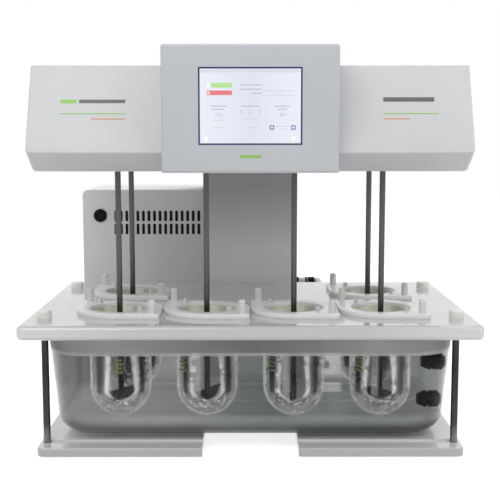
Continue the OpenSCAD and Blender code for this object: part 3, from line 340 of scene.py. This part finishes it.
def bath_finish():
    """Clear plastic around water, with painted shade, reflections and glow: a band above the water line, then
    walls, floor and round foot.
    """
    made = Finish("bath_plastic", (0.4, 0.41, 0.4), 0.1, coat_weight=0.5)
    across, depth, level = made.axes()
    sideways = across / (2 * BATH_HALF) + 0.5
    rearward = (depth - (BATH_MID - BATH_DEPTH / 2)) / BATH_DEPTH
    downward = (DECK_LOW - level) / (DECK_LOW - BATH_LOW)
    back = rearward > BACK_SHARE

    # Clear in front, denser along the sides, the band, the foot and the outline, where the painted shade shows
    depth_alpha = made.ramp(rearward, [
        (0.06, 0.012), (0.12, 0.06), (0.2, 0.5), (0.4, 0.8), (0.925, 0.85), (BACK_SHARE, 0.0)])
    back_alpha = made.ramp(sideways, [
        (0.06, 0.9), (0.14, 0.75), (0.24, 0.4), (0.6, 0.36), (0.74, 0.36), (0.82, 0.7), (0.9, 0.9)])
    band_and_foot_alpha = made.ramp(downward, [
        (0.0, 0.85), (0.185, 0.85), (0.19, 0.55), (0.215, 0.5), (0.22, 0.0), (0.78, 0.0), (0.96, 0.9)])
    outline_alpha = made.ramp(made.facing(), [(0.6, 0.0), (0.85, 0.3), (1.0, 0.8)])
    made.set("Alpha", made.largest(depth_alpha, back * back_alpha, band_and_foot_alpha, outline_alpha))

    # Painted shade and reflections for the band, the walls and the foot, with painted highlights as pale lines
    # between them
    band_painted_shade = made.ramp(sideways, [
        (0.0, 0.3), (0.16, 0.46), (0.3, 0.36), (0.5, 0.22), (0.68, 0.32), (0.8, 0.46), (1.0, 0.3)])
    wall_painted_shade = made.ramp(sideways, [
        (0.0, (0.36, 0.37, 0.36)), (0.12, (0.42, 0.43, 0.42)), (0.2, (0.66, 0.68, 0.66)), (0.3, (0.66, 0.68, 0.66)),
        (0.45, (0.5, 0.54, 0.53)), (0.6, (0.46, 0.5, 0.49)), (1.0, (0.5, 0.52, 0.52))])
    foot_painted_shade = made.ramp(sideways, [
        (0.0, (0.22, 0.225, 0.22)), (0.35, (0.16, 0.168, 0.16)), (0.5, (0.12, 0.135, 0.135)),
        (0.62, (0.11, 0.12, 0.12)), (1.0, (0.08, 0.085, 0.085))])
    body_tone = made.blend(made.ramp(downward, [(0.8, 0.0), (0.93, 1.0)]), wall_painted_shade, foot_painted_shade)
    # Painted highlights: pale lines along the back wall's foot and across the floor.
    foot_highlight = back * between(level, 0.0345, 0.0385)
    floor_highlight = between(depth, -0.0785, -0.0735) * (downward > 0.97)
    body_tone = made.blend(made.largest(foot_highlight, floor_highlight) * 0.45, body_tone, (0.95, 0.95, 0.95))
    dry_tone = made.blend(downward < BAND_SHARE, body_tone, band_painted_shade)
    # Painted highlight: a pale line where the water surface meets the wall.
    water_line_highlight = between(downward, BAND_SHARE, LINE_SHARE)
    made.set("Base Color", made.blend(water_line_highlight, dry_tone, (0.58, 0.58, 0.58)))

    # Painted light: emission that brightens the walls and the floor, with a brighter patch on the back wall and
    # rear floor, right of middle
    wall_painted_glow = made.ramp(sideways, [
        (0.0, (0.05, 0.051, 0.05)), (0.08, (0.09, 0.092, 0.09)), (0.12, (0.14, 0.142, 0.14)),
        (0.2, (0.18, 0.185, 0.18)), (0.3, (0.18, 0.185, 0.18)), (0.5, (0.1, 0.11, 0.108)),
        (0.8, (0.1, 0.108, 0.105)), (1.0, (0.09, 0.095, 0.093))])
    floor_painted_glow = made.ramp(sideways, [
        (0.0, (0.19, 0.193, 0.19)), (0.35, (0.13, 0.135, 0.132)), (0.55, (0.08, 0.088, 0.087)),
        (1.0, (0.11, 0.114, 0.113))])
    painted_glow = made.blend(made.ramp(downward, [(0.85, 0.0), (0.95, 1.0)]), wall_painted_glow, floor_painted_glow)
    window_painted_light = made.ramp(sideways, [(0.7, 0.0), (0.71, 1.0), (0.757, 1.0), (0.767, 0.0)])
    window_painted_light = window_painted_light * made.largest(back * (level > 0.055) * 0.5, (depth > -0.012) * (level < 0.04))
    painted_glow = made.blend(window_painted_light, painted_glow, (0.28, 0.29, 0.285))
    painted_glow = made.blend(made.ramp(rearward, [(0.1, 0.0), (0.18, 1.0)]), DARK, painted_glow)
    made.set("Emission Color", made.blend(level < WATER_TOP - 0.002, DARK, painted_glow))
    made.set("Emission Strength", 1.0)
    made.set("Coat Weight", made.ramp(downward, [(0.19, 0.02), (0.23, 0.45), (0.8, 0.45), (0.9, 0.1)]))
    made.set("Roughness", made.ramp(downward, [(0.19, 0.55), (0.23, 0.1), (0.8, 0.1), (0.9, 0.35)]))
    return made


def glass_finish():
    """Vessel glass as it looks in water: painted dark and light streaks towards its sides, painted glints in its
    bowl.
    """
    made = Finish("vessel_glass", (0.8, 0.84, 0.82), 0.04, coat_weight=0.6, coat_roughness=0.02)
    across, _, level = made.axes()
    turned = made.facing()
    reach = made.math("POWER", turned * (2.0 - turned), 0.5) + (made.streaks(60.0) - 0.5) * 0.2
    sparkle = made.ramp(made.noise(55.0, 4.0), [(0.42, 0.0), (0.52, 1.0)])
    column = made.ramp(level * 10.0, [(0.86, 0.0), (1.0, 1.0)])
    neck = level > DECK_LOW

    # Painted reflections: dark and light streaks on the wall and shading in the bowl, by how the glass faces the
    # eye; the neck's green tint
    wall_painted_streaks = made.ramp(reach, [
        (0.0, (0.6, 0.64, 0.62)), (0.5, (0.95, 0.97, 0.95)), (0.62, (0.95, 0.97, 0.95)),
        (0.67, (0.02, 0.025, 0.02)), (0.8, (0.02, 0.025, 0.02)), (0.84, (0.6, 0.64, 0.6)),
        (0.94, (0.6, 0.64, 0.6)), (1.0, (0.95, 0.97, 0.95))])
    bowl_painted_shading = made.ramp(reach, [(0.0, (0.7, 0.74, 0.72)), (0.6, (0.9, 0.93, 0.9)), (1.0, (0.75, 0.78, 0.75))])
    made.set("Base Color", made.blend(neck, made.blend(column, bowl_painted_shading, wall_painted_streaks), (0.66, 0.69, 0.52)))

    # Painted light: glints, streaks and a bright stripe in the glass, given as emission
    streak = made.ramp(reach, [(0.6, 0.0), (0.66, 1.0), (0.8, 1.0), (0.85, 0.0)])
    side = made.math("FRACT", across / STATION_PITCH) + (made.streaks(90.0) - 0.5) * 0.04
    # Painted highlight: a bright upright stripe left of each vessel's middle.
    inner_light = column * made.ramp(side, [(0.345, 0.0), (0.365, 1.0), (0.425, 1.0), (0.455, 0.0)])
    bowl_glint = made.ramp(made.noise(150.0, 2.0), [(0.6, 0.0), (0.65, 1.0)])
    bowl_glint = bowl_glint * made.ramp(reach, [(0.5, 0.0), (0.55, 1.0)])
    light = made.ramp(reach, [(0.4, 0.0), (0.53, 0.22), (0.62, 0.06), (0.8, 0.1), (1.0, 0.22)])
    light = made.blend(inner_light, light, (0.34, 0.35, 0.34))
    light = made.blend(bowl_glint, light, (0.5, 0.52, 0.5))
    made.set("Emission Color", made.blend((1.0 - neck) * (1.0 - column * streak), DARK, light))
    made.set("Emission Strength", 1.0)

    # Clear in the middle, denser along the streaks and the outline
    wall_alpha = made.ramp(reach, [
        (0.0, 0.015), (0.47, 0.03), (0.52, 0.45), (0.57, 0.45), (0.62, 0.06), (0.68, 0.6), (0.78, 0.6),
        (0.83, 0.12), (0.93, 0.2), (0.97, 0.6)])
    bowl_alpha = made.ramp(reach, [
        (0.3, 0.02), (0.55, 0.14), (0.62, 0.04), (0.85, 0.24), (0.92, 0.12), (0.98, 0.5)])
    broken = made.largest(sparkle * 0.75 + 0.25, column * streak)
    body_alpha = made.largest(column * wall_alpha, (1.0 - column) * bowl_alpha) * broken
    outline_alpha = made.ramp(reach, [(0.95, 0.0), (1.0, 0.5)])
    made.set("Alpha", made.largest(
        body_alpha, inner_light * 0.1, bowl_glint * (1.0 - neck) * 0.3, outline_alpha, neck * 0.7))
    return made


def panel_finish():
    """The lit panel, a little darker in its middle."""
    made = Finish("panel_light", SCREEN_OFF, 0.25, emission_strength=1.0)
    across, _, _ = made.axes()
    outward = made.math("ABSOLUTE", across) / 0.09
    made.set("Emission Color", made.ramp(outward, [(0.0, (0.7, 0.73, 0.82)), (1.0, (0.8, 0.83, 0.91))]))
    return made


def lit(name, color):
    """A shape lit on the screen."""
    made = Finish(name, SCREEN_OFF, 0.3, emission_strength=1.0)
    dim, full = tuple(0.97 * c for c in color), tuple(min(1.02 * c, 1.0) for c in color)
    made.set("Emission Color", made.ramp(made.noise(40.0), [(0.35, dim), (0.65, full)]))
    return made


circulator_paint_lit_top = circulator_finish()
deck_gloss_edge_highlight = deck_finish()
bath_plastic = bath_finish()
vessel_glass = glass_finish()
panel_light = panel_finish()
screen_strip = lit("screen_strip", (0.66, 0.69, 0.78))
screen_grey = lit("screen_grey", (0.4, 0.42, 0.5))
screen_pale = lit("screen_pale", (0.56, 0.59, 0.66))
screen_blue = lit("screen_blue", (0.12, 0.22, 0.55))
screen_green = lit("screen_green", (0.45, 0.75, 0.25))
screen_mint = lit("screen_mint", (0.6, 0.8, 0.58))
screen_red = lit("screen_red", (0.8, 0.16, 0.2))
screen_white = lit("screen_white", (0.9, 0.91, 0.94))


# Mesh tools

def piece(name, mesh, finish, body, replaced=(), crease=35.0):
    """Makes a bmesh a finished piece that rides on a body."""
    bmesh.ops.recalc_face_normals(mesh, faces=mesh.faces)
    data = bpy.data.meshes.new(name)
    mesh.to_mesh(data)
    mesh.free()
    for face in data.polygons:
        face.use_smooth = True
    data.set_sharp_from_angle(angle=math.radians(crease))
    made = add_object(name, data)
    data.materials.append(finish.material)
    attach(made, body)
    if replaced:
        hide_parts(*replaced)
    return made


def join(mesh, part):
    """Adds part to mesh, if there is one."""
    if mesh is None:
        return part
    data = bpy.data.meshes.new("part")
    part.to_mesh(data)
    part.free()
    mesh.from_mesh(data)
    bpy.data.meshes.remove(data)
    return mesh


def shift(mesh, way, verts=None):
    """Moves all of a mesh, or some of its vertices."""
    bmesh.ops.translate(mesh, vec=way, verts=mesh.verts if verts is None else verts)


def turn(mesh, angle, axis):
    """Turns a mesh about an axis through the origin."""
    bmesh.ops.rotate(mesh, matrix=Matrix.Rotation(angle, 3, axis), verts=mesh.verts, cent=(0, 0, 0))


def grown_verts(made):
    """The new vertices of an extrude operator."""
    return [v for v in made["geom"] if isinstance(v, bmesh.types.BMVert)]


def span(edge, axis):
    """How far an edge reaches along axis 0, 1 or 2."""
    return abs(edge.verts[0].co[axis] - edge.verts[1].co[axis])


def rounded(mesh, edges, radius, segments=4):
    """Bevels edges round."""
    bmesh.ops.bevel(mesh, geom=edges, offset=radius, segments=segments, affect="EDGES", profile=0.5, material=-1)


def block(low, high):
    """A box between two corners."""
    part = bmesh.new()
    bmesh.ops.create_cube(part, size=1.0)
    low, high = Vector(low), Vector(high)
    bmesh.ops.scale(part, vec=high - low, verts=part.verts)
    shift(part, (low + high) / 2)
    return part


def lathe(profile, place, steps=64, mesh=None):
    """Spins a profile of (radius, height) points about a vertical line through place."""
    part = bmesh.new()
    verts = [part.verts.new((r, 0.0, z)) for r, z in profile]
    edges = [part.edges.new(pair) for pair in zip(verts, verts[1:])]
    bmesh.ops.spin(part, geom=verts + edges, cent=(0, 0, 0), axis=(0, 0, 1), angle=math.tau,
                   steps=steps, use_merge=True)
    bmesh.ops.remove_doubles(part, verts=part.verts, dist=1e-6)
    shift(part, place)
    return join(mesh, part)


def arc(centre, radius, start, end, count):
    """Points on an arc, in a profile's (radius, height) plane."""
    angles = [math.radians(start + (end - start) * i / count) for i in range(count + 1)]
    return [(centre[0] + radius * math.cos(a), centre[1] + radius * math.sin(a)) for a in angles]


def paint(finish, *names):
    """Gives CAD nodes a finish."""
    for name in names:
        data = nodes[name].data
        data.materials.clear()
        data.materials.append(finish.material)


# CAD nodes that keep their shape
numbers = range(1, 7)
paint(rubber, "base_pads", "drive_belt")
paint(base_gloss_lit_top, "base_plate", "base_sheet")
paint(deck_gloss_edge_highlight, "deck")
paint(peg_plastic, "ring_pegs")
paint(lug_plastic, "rim_lugs")
paint(knob_plastic, "post_knobs")
paint(post_steel_painted_reflection, "posts")
paint(column_paint_shaded_under_head, "column_shell")
paint(circulator_paint_lit_top, "circulator_cover", "circulator_front", "circulator_chassis")
paint(plain_metal, "column_foot", "mast", "head_floor", "bearing_units", "drive_pulley", "tension_roller",
      "lead_screw", "circulator_heater", *["spindle_%d" % k for k in numbers])
paint(bronze, "lift_nut")
paint(motor_shell, "drive_motor", "lift_motor", "circulator_pump")
paint(black_plastic, "mains_inlet", "rocker_bezel", "power_rocker", "bath_fittings")
paint(pipe_plastic, "water_pipes")
paint(shaft_steel_painted_shade, *["paddle_%d" % k for k in numbers])
paint(bezel_blue, "display_bezel")
paint(panel_light, "touchscreen")


# Bath and water
def bath_lean(height):
    """How far the draft has drawn the bath's walls in at a height."""
    return BATH_LEAN * (DECK_LOW - height) / (DECK_LOW - BATH_LOW)


def tub(inset, low, high):
    """A drafted tub with round corners and a round foot, inset from the bath's outside, its top face left on."""
    def half(z):
        lean = bath_lean(z)
        return Vector((BATH_HALF - inset - lean, BATH_DEPTH / 2 - inset - lean))

    mesh = bmesh.new()
    bmesh.ops.create_cube(mesh, size=1.0)
    bmesh.ops.scale(mesh, vec=(2 * half(high).x, 2 * half(high).y, high - low), verts=mesh.verts)
    shift(mesh, (0, 0, (low + high) / 2))
    rounded(mesh, [e for e in mesh.edges if span(e, 2) > 0.01], BATH_CORNER - inset, 12)
    bottom = [v for v in mesh.verts if v.co.z < low + 0.001]
    bmesh.ops.scale(mesh, vec=(half(low).x / half(high).x, half(low).y / half(high).y, 1), verts=bottom)
    rim = [e for e in mesh.edges if all(v.co.z < low + 0.001 for v in e.verts) and len(e.link_faces) == 2
           and any(len(f.verts) == 4 for f in e.link_faces)]
    rounded(mesh, rim, BATH_FOOT - inset, 8)
    shift(mesh, (0, BATH_MID, 0))
    return mesh


def bath_tub():
    """The bath: a tub without its top, its edge turned out under the deck."""
    bath = tub(0.0, BATH_LOW, DECK_LOW)
    bmesh.ops.recalc_face_normals(bath, faces=bath.faces)
    top = [f for f in bath.faces if f.normal.z > 0.9 and f.calc_center_median().z > DECK_LOW - 0.001]
    bmesh.ops.delete(bath, geom=top, context="FACES_ONLY")
    lip = grown_verts(bmesh.ops.extrude_edge_only(bath, edges=[e for e in bath.edges if len(e.link_faces) == 1]))
    reach = BATH_RIM - 0.0002
    shift(bath, (0, -BATH_MID, 0), lip)
    bmesh.ops.scale(bath, vec=(1 + reach / BATH_HALF, 1 + 2 * reach / BATH_DEPTH, 1), verts=lip)
    shift(bath, (0, BATH_MID, 0), lip)
    wall = piece("bath_tub", bath, bath_plastic, "base", ["bath"]).modifiers.new("wall", "SOLIDIFY")
    wall.thickness = BATH_WALL
    wall.offset = -1.0


def bath_feet():
    """Four round feet under the bath."""
    profile = [(0.0, 0.0002), (0.018, 0.0002), (0.0198, 0.002), (0.0195, 0.0082), (0.0, 0.0082)]
    feet = None
    for sx in (-1, 1):
        for sy in (-1, 1):
            place = (sx * 0.66 * BATH_HALF, BATH_MID + sy * 0.3 * BATH_DEPTH, BATH_LOW - BATH_FEET)
            feet = lathe(profile, place, 32, feet)
    piece("bath_feet", feet, bath_plastic, "base")


def pipe_sockets():
    """Round sockets on the bath's back wall, about the pipes."""
    profile = [(0.0072, 0.0), (0.011, 0.0), (0.011, 0.0138), (0.0103, 0.0145), (0.0072, 0.0145), (0.0072, 0.0)]
    mesh = None
    for height in PIPE_ZS:
        socket = lathe(profile, (0, 0, 0), 40)
        turn(socket, math.radians(-90), "X")
        shift(socket, (PIPE_X, BATH_MID + BATH_DEPTH / 2 - bath_lean(height) - 0.0005, height))
        mesh = join(mesh, socket)
    piece("pipe_sockets", mesh, bath_plastic, "base")


bath_tub()
piece("water_body", tub(WATER_INSET, BATH_LOW + WATER_INSET, WATER_TOP), bath_water, "base")
bath_feet()
pipe_sockets()


# Vessels
def vessel(k):
    """A round-bottomed glass with a flange on the deck."""
    centre = (0.0, VESSEL_LOW + GLASS_OUT)
    flange = [(GLASS_OUT, -0.002), (0.0545, 0.0002), (0.0610, 0.0002), (0.0619, 0.0012), (0.0619, 0.003),
              (0.0610, 0.004), (0.0525, 0.004), (GLASS_IN, 0.0025)]
    profile = (arc(centre, GLASS_OUT, -90, 0, 20) + [(r, DECK_TOP + z) for r, z in flange]
               + arc(centre, GLASS_IN, 0, -90, 20))
    profile[0] = (0.0, profile[0][1])
    profile[-1] = (0.0, profile[-1][1])
    glass = lathe(profile, (*STATIONS[k - 1], 0))
    piece("glass_vessel_%d" % k, glass, vessel_glass, "base", ["vessel_%d" % k], 50.0)


def graduations(k, middle, mesh):
    """Short printed level marks on the outside of a vessel, about an angle."""
    for i in range(4):
        width = 14 if i % 2 else 20
        z = 0.137 + 0.007 * i
        part = bmesh.new()
        part.edges.new([part.verts.new((GLASS_OUT + 0.0003, 0, z + dz)) for dz in (-0.0017, 0.0017)])
        bmesh.ops.spin(part, geom=part.verts[:] + part.edges[:], cent=(0, 0, 0), axis=(0, 0, 1),
                       angle=math.radians(width), steps=8)
        bmesh.ops.solidify(part, geom=part.faces[:], thickness=-0.0002)
        turn(part, math.radians(middle - width / 2), "Z")
        shift(part, (*STATIONS[k - 1], 0))
        mesh = join(mesh, part)
    return mesh


for k in numbers:
    vessel(k)
marks = None
for k, middle in ((1, -88), (2, -140), (3, -140), (4, -140), (5, -110), (6, -120)):
    marks = graduations(k, middle, marks)
piece("vessel_marks", marks, mark_green, "base")


# Ring plates
def ring_plate(k):
    """A leaf-shaped plate: two opposite corners fully round, the other two nearly square."""
    low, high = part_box("ring_plate_%d" % k)
    half = (high.x - low.x) / 2
    tip = 0.003  # round of the nearly square corners
    at = half - tip
    corners = [((at, -at), tip, -90, 4), ((0, 0), half, 0, 24), ((-at, at), tip, 90, 4), ((0, 0), half, 180, 24)]
    outline = [point for centre, radius, start, count in corners
               for point in arc(centre, radius, start, start + 90, count)]
    mesh = bmesh.new()
    rim = [mesh.verts.new((x, y, 0)) for x, y in outline]
    outer = [mesh.edges.new(pair) for pair in zip(rim, rim[1:] + rim[:1])]
    hole = bmesh.ops.create_circle(mesh, segments=72, radius=GLASS_IN)["verts"]
    inner = list({e for v in hole for e in v.link_edges})
    bmesh.ops.triangle_fill(mesh, use_beauty=True, edges=outer + inner)
    top = grown_verts(bmesh.ops.extrude_face_region(mesh, geom=mesh.faces[:]))
    shift(mesh, (0, 0, high.z - low.z), top)
    bmesh.ops.remove_doubles(mesh, verts=mesh.verts, dist=1e-6)
    bmesh.ops.recalc_face_normals(mesh, faces=mesh.faces)
    sharp = [e for e in mesh.edges if e.is_manifold and span(e, 2) < 1e-6 and e.calc_face_angle(0) > 1.2]
    rounded(mesh, sharp, 0.0008, 2)
    shift(mesh, (*STATIONS[k - 1], low.z))
    piece("leaf_plate_%d" % k, mesh, ring_plastic, "base", ["ring_plate_%d" % k])


for k in numbers:
    ring_plate(k)


# Head covers
def wing(side):
    """Folded sheet cover, with soft folds and a round lower outer corner."""
    low = FLOOR + COVER_RISE
    outline = [(CREASE_Y + WING_CHAMFER, low), (WING_BACK, low), (WING_BACK, WING_TOP),
               (CREASE_Y + WING_LEAN, WING_TOP), (CREASE_Y, FLOOR + CREASE_RISE)]
    inner, outer = -side * SPINE_SIDE, -side * WING_OUT
    mesh = bmesh.new()
    face = mesh.faces.new([mesh.verts.new((inner, y, z)) for y, z in outline])
    end = grown_verts(bmesh.ops.extrude_face_region(mesh, geom=[face]))
    shift(mesh, (outer - inner, 0, 0), end)

    def low_at_end(edge):
        middle = (edge.verts[0].co + edge.verts[1].co) / 2
        return span(edge, 0) < 1e-6 and abs(middle.x - outer) < 1e-6 and middle.z < FLOOR + 0.02

    rounded(mesh, [e for e in mesh.edges if low_at_end(e)], 0.008, 6)
    soft = [e for e in mesh.edges
            if e.calc_face_angle(0) > 0.3 and sum(abs(v.co.x - inner) for v in e.verts) > 1e-5]
    rounded(mesh, soft, 0.0025, 3)
    name = "left" if side < 0 else "right"
    piece("wing_cover_" + name, mesh, wing_paint, "head", ["wing_" + name])


def spine():
    """Central cover with the opening for the screen."""
    def on_front(face):
        return face.calc_center_median().y < SPINE_FRONT + 0.0001

    mesh = block((SPINE_SIDE, SPINE_FRONT, FLOOR + COVER_RISE), (-SPINE_SIDE, SPINE_BACK, SPINE_TOP))
    soft = [e for e in mesh.edges if min(v.co.z for v in e.verts) > FLOOR + 0.001 or span(e, 2) > 0.01
            or all(v.co.y < SPINE_FRONT + 0.001 for v in e.verts)]
    rounded(mesh, soft, 0.0045, 4)
    x0, x1, z0, z1 = SCREEN
    cuts = [((x0, 0, 0), (1, 0, 0)), ((x1, 0, 0), (1, 0, 0)), ((0, 0, z0), (0, 0, 1)), ((0, 0, z1), (0, 0, 1))]
    for at, normal in cuts:
        faces = [f for f in mesh.faces if on_front(f)]
        geom = list({*faces, *[e for f in faces for e in f.edges], *[v for f in faces for v in f.verts]})
        bmesh.ops.bisect_plane(mesh, geom=geom, plane_co=at, plane_no=normal, dist=1e-6)
    hole = [f for f in mesh.faces if on_front(f)
            and x0 < f.calc_center_median().x < x1 and z0 < f.calc_center_median().z < z1]
    grown = bmesh.ops.extrude_face_region(mesh, geom=hole)
    bmesh.ops.delete(mesh, geom=hole, context="FACES")
    shift(mesh, (0, 0.0026, 0), grown_verts(grown))
    piece("spine_cover", mesh, spine_paint, "head", ["spine_housing"])


wing(-1)
wing(1)
spine()


# Screen picture: plain shapes and numbers
def on_screen(name, finish, shapes, layer=0):
    """Flat shapes in front of the touch panel: (x, z, width, height, corner) from the panel's middle."""
    face = SCREEN_FACE - layer * SHAPE_DEPTH
    mesh = None
    for x, z, w, h, corner in shapes:
        part = block((x - w / 2, face - SHAPE_DEPTH, z - h / 2), (x + w / 2, face, z + h / 2))
        if corner:
            rounded(part, [e for e in part.edges if span(e, 1) > 0.0001], min(corner, 0.499 * min(w, h)), 5)
        shift(part, (0, 0, PANEL_MIDDLE))
        mesh = join(mesh, part)
    piece(name, mesh, finish, "head")


def bars(height, *places):
    """Lines of text as plain bars: (left, right, z) in millimetres from the panel's middle."""
    return [((x0 + x1) / 2000, z / 1000, (x1 - x0) / 1000, height, height * 0.4) for x0, x1, z in places]


def discs(*places):
    """Round shapes: (x, z, radius) in millimetres from the panel's middle."""
    return [(x / 1000, z / 1000, 2 * radius / 1000, 2 * radius / 1000, radius / 1000) for x, z, radius in places]


def numerals(name, finish, size, words):
    """Numbers as flat meshes in front of the panel: (text, x, z)."""
    mesh = None
    for text, x, z in words:
        curve = bpy.data.curves.new("numeral", "FONT")
        curve.body, curve.size, curve.align_x, curve.align_y = text, size, "CENTER", "CENTER"
        curve.resolution_u = 2
        made = add_object("numeral", curve)
        data = bpy.data.meshes.new_from_object(made)
        bpy.data.objects.remove(made)
        part = bmesh.new()
        part.from_mesh(data)
        turn(part, math.radians(90), "X")
        front = grown_verts(bmesh.ops.extrude_face_region(part, geom=part.faces[:]))
        shift(part, (0, -SHAPE_DEPTH, 0), front)
        shift(part, (x, SCREEN_FACE - SHAPE_DEPTH, z))
        mesh = join(mesh, part)
    piece(name, mesh, finish, "head")


on_screen("screen_header", screen_strip, [(0, 0.0535, 0.1565, 0.0045, 0)])
on_screen("screen_labels", screen_grey, bars(
    0.0012, (-15, 17, 32.4), (-17, 17, 26.0), (2, 17, 19.6), (-63, -37, 0), (-61, -40, -4.7), (-15, 15, 0),
    (37, 62, 0), (43, 57, -4.7)))
on_screen("screen_faint_lines", screen_pale, bars(
    0.0009, (18, 69, 23.5), (18, 69, 16.2), (-57, -40, -22), (-57, -39, -33.4), (-6, 14, -33.4),
    (40, 61, -31.3), (44, 57, -35.2), (-11, 11, -19), (43, 47, 26), (42, 49, 19)))
on_screen("screen_start_key", screen_green, [(-0.045, 0.0320, 0.033, 0.0074, 0.0008)])
on_screen("screen_stop_key", screen_red, [(-0.048, 0.0205, 0.039, 0.0070, 0.0008)])
on_screen("screen_key_icons", screen_white, [(-0.0650, 0.0320, 0.0058, 0.0070, 0.0006), *discs((-64.5, 20.5, 2.2))])
on_screen("screen_small_keys", screen_blue, [(x, -0.033, 0.0073, 0.0073, 0.0012) for x in (0.0336, 0.067)])
on_screen("screen_round_keys", screen_mint, discs((-69.3, -50.4, 5.2), (66.7, -50.1, 5.2), (-68.5, -33.4, 2.8)))
on_screen("screen_key_middles", screen_white, discs(
    (-69.3, -50.4, 4.2), (66.7, -50.1, 4.2), (-68.5, -33.4, 1.6), (33.6, -33, 1.9), (67, -33, 1.9)), layer=1)
numerals("screen_numbers", screen_grey, 0.0068, [
    ("37.0", -0.0496, 0.5649), ("36.9", 0.0506, 0.5655),
    ("5", -0.0145, 0.5694), ("0", 0.0, 0.5694), ("0", 0.0145, 0.5694)])


# Trim: plain coloured rules
def rules(name, finish, places):
    """Thin rules on the sloped front of a wing: (x, height share, width, height)."""
    mesh = None
    crease, top = Vector((0, CREASE_Y, FLOOR + CREASE_RISE)), Vector((0, CREASE_Y + WING_LEAN, WING_TOP))
    slope = (top - crease).normalized()
    for x, share, width, height in places:
        part = block((-width / 2, -RULE_PROUD, -height / 2), (width / 2, RULE_SUNK, height / 2))
        turn(part, -math.atan2(slope.y, slope.z), "X")
        shift(part, crease.lerp(top, share) + Vector((x, 0, 0)))
        mesh = join(mesh, part)
    piece(name, mesh, finish, "head")


rules("trim_rules_green", trim_green, [
    (-0.252, 0.44, 0.105, 0.0014), (-0.292, 0.58, 0.026, 0.006), (0.258, 0.44, 0.088, 0.0014)])
rules("trim_rules_orange", trim_orange, [(-0.227, 0.38, 0.055, 0.0014), (0.235, 0.38, 0.042, 0.0014)])
rules("trim_rules_grey", trim_grey, [(-0.238, 0.58, 0.074, 0.006), (0.255, 0.6, 0.082, 0.0075)])
piece("trim_bar", block((-0.017, SPINE_FRONT - RULE_PROUD, FLOOR + 0.0235),
                        (0.017, SPINE_FRONT + RULE_SUNK, FLOOR + 0.0275)), trim_green, "head")


# Circulator
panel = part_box("circulator_front")
# Painted shade: a dark sheet behind the vent slots stands in for the shade inside the circulator.
piece("vent_shade_sheet", block((panel[0].x + 0.005, panel[1].y + 0.0045, panel[1].z - 0.105),
                            (panel[1].x - 0.002, panel[1].y + 0.0065, panel[1].z - 0.034)), vent_dark, "base")


# Stage and light
PAPER_GLOW = 0.72
SKY_LIGHT, SKY_SEEN = 0.45, 0.55
LAMP_AIM = Vector((0, -0.1, 0.3))


def paper_floor():
    """White floor that shows its shadows and looks bright to the eye."""
    mesh = bmesh.new()
    bmesh.ops.create_grid(mesh, x_segments=1, y_segments=1, size=6.0)
    data = bpy.data.meshes.new("floor")
    mesh.to_mesh(data)
    mesh.free()
    paper = Finish("paper", (0.8, 0.8, 0.8), 0.9, specular_ior_level=0.0)
    camera_ray, glossy_ray, through_ray = paper.rays("Camera", "Glossy", "Transmission")
    paper.set("Emission Color", (1, 1, 1))
    paper.set("Emission Strength", (camera_ray + glossy_ray + through_ray) * PAPER_GLOW)
    data.materials.append(paper.material)
    add_object("floor", data)


def studio():
    """White world, stronger where the eye sees it, also in metal and through glass."""
    world = bpy.data.worlds.new("studio")
    bpy.context.scene.world = world
    world.use_nodes = True
    sky = Nodes(world.node_tree)
    seen = sky.largest(*sky.rays("Camera", "Transmission", "Glossy"))
    ground = sky.tree.nodes["Background"]
    ground.inputs["Color"].default_value = (1, 1, 1, 1)
    sky.tree.links.new((seen * SKY_SEEN + SKY_LIGHT).socket, ground.inputs["Strength"])


def lamp(name, place, size, power):
    """A square lamp turned to the part."""
    data = bpy.data.lights.new(name, "AREA")
    data.shape, data.size, data.energy = "SQUARE", size, power
    made = add_object(name, data)
    made.location = place
    made.rotation_euler = (LAMP_AIM - Vector(place)).to_track_quat("-Z", "Y").to_euler()


paper_floor()
studio()
lamp("key", (-1.3, -2.4, 2.6), 2.2, 38.0)
lamp("fill", (1.8, -1.2, 1.6), 1.8, 14.0)
lamp("top", (0.2, 0.4, 2.6), 1.6, 16.0)
bpy.context.scene.view_settings.view_transform = "Standard"
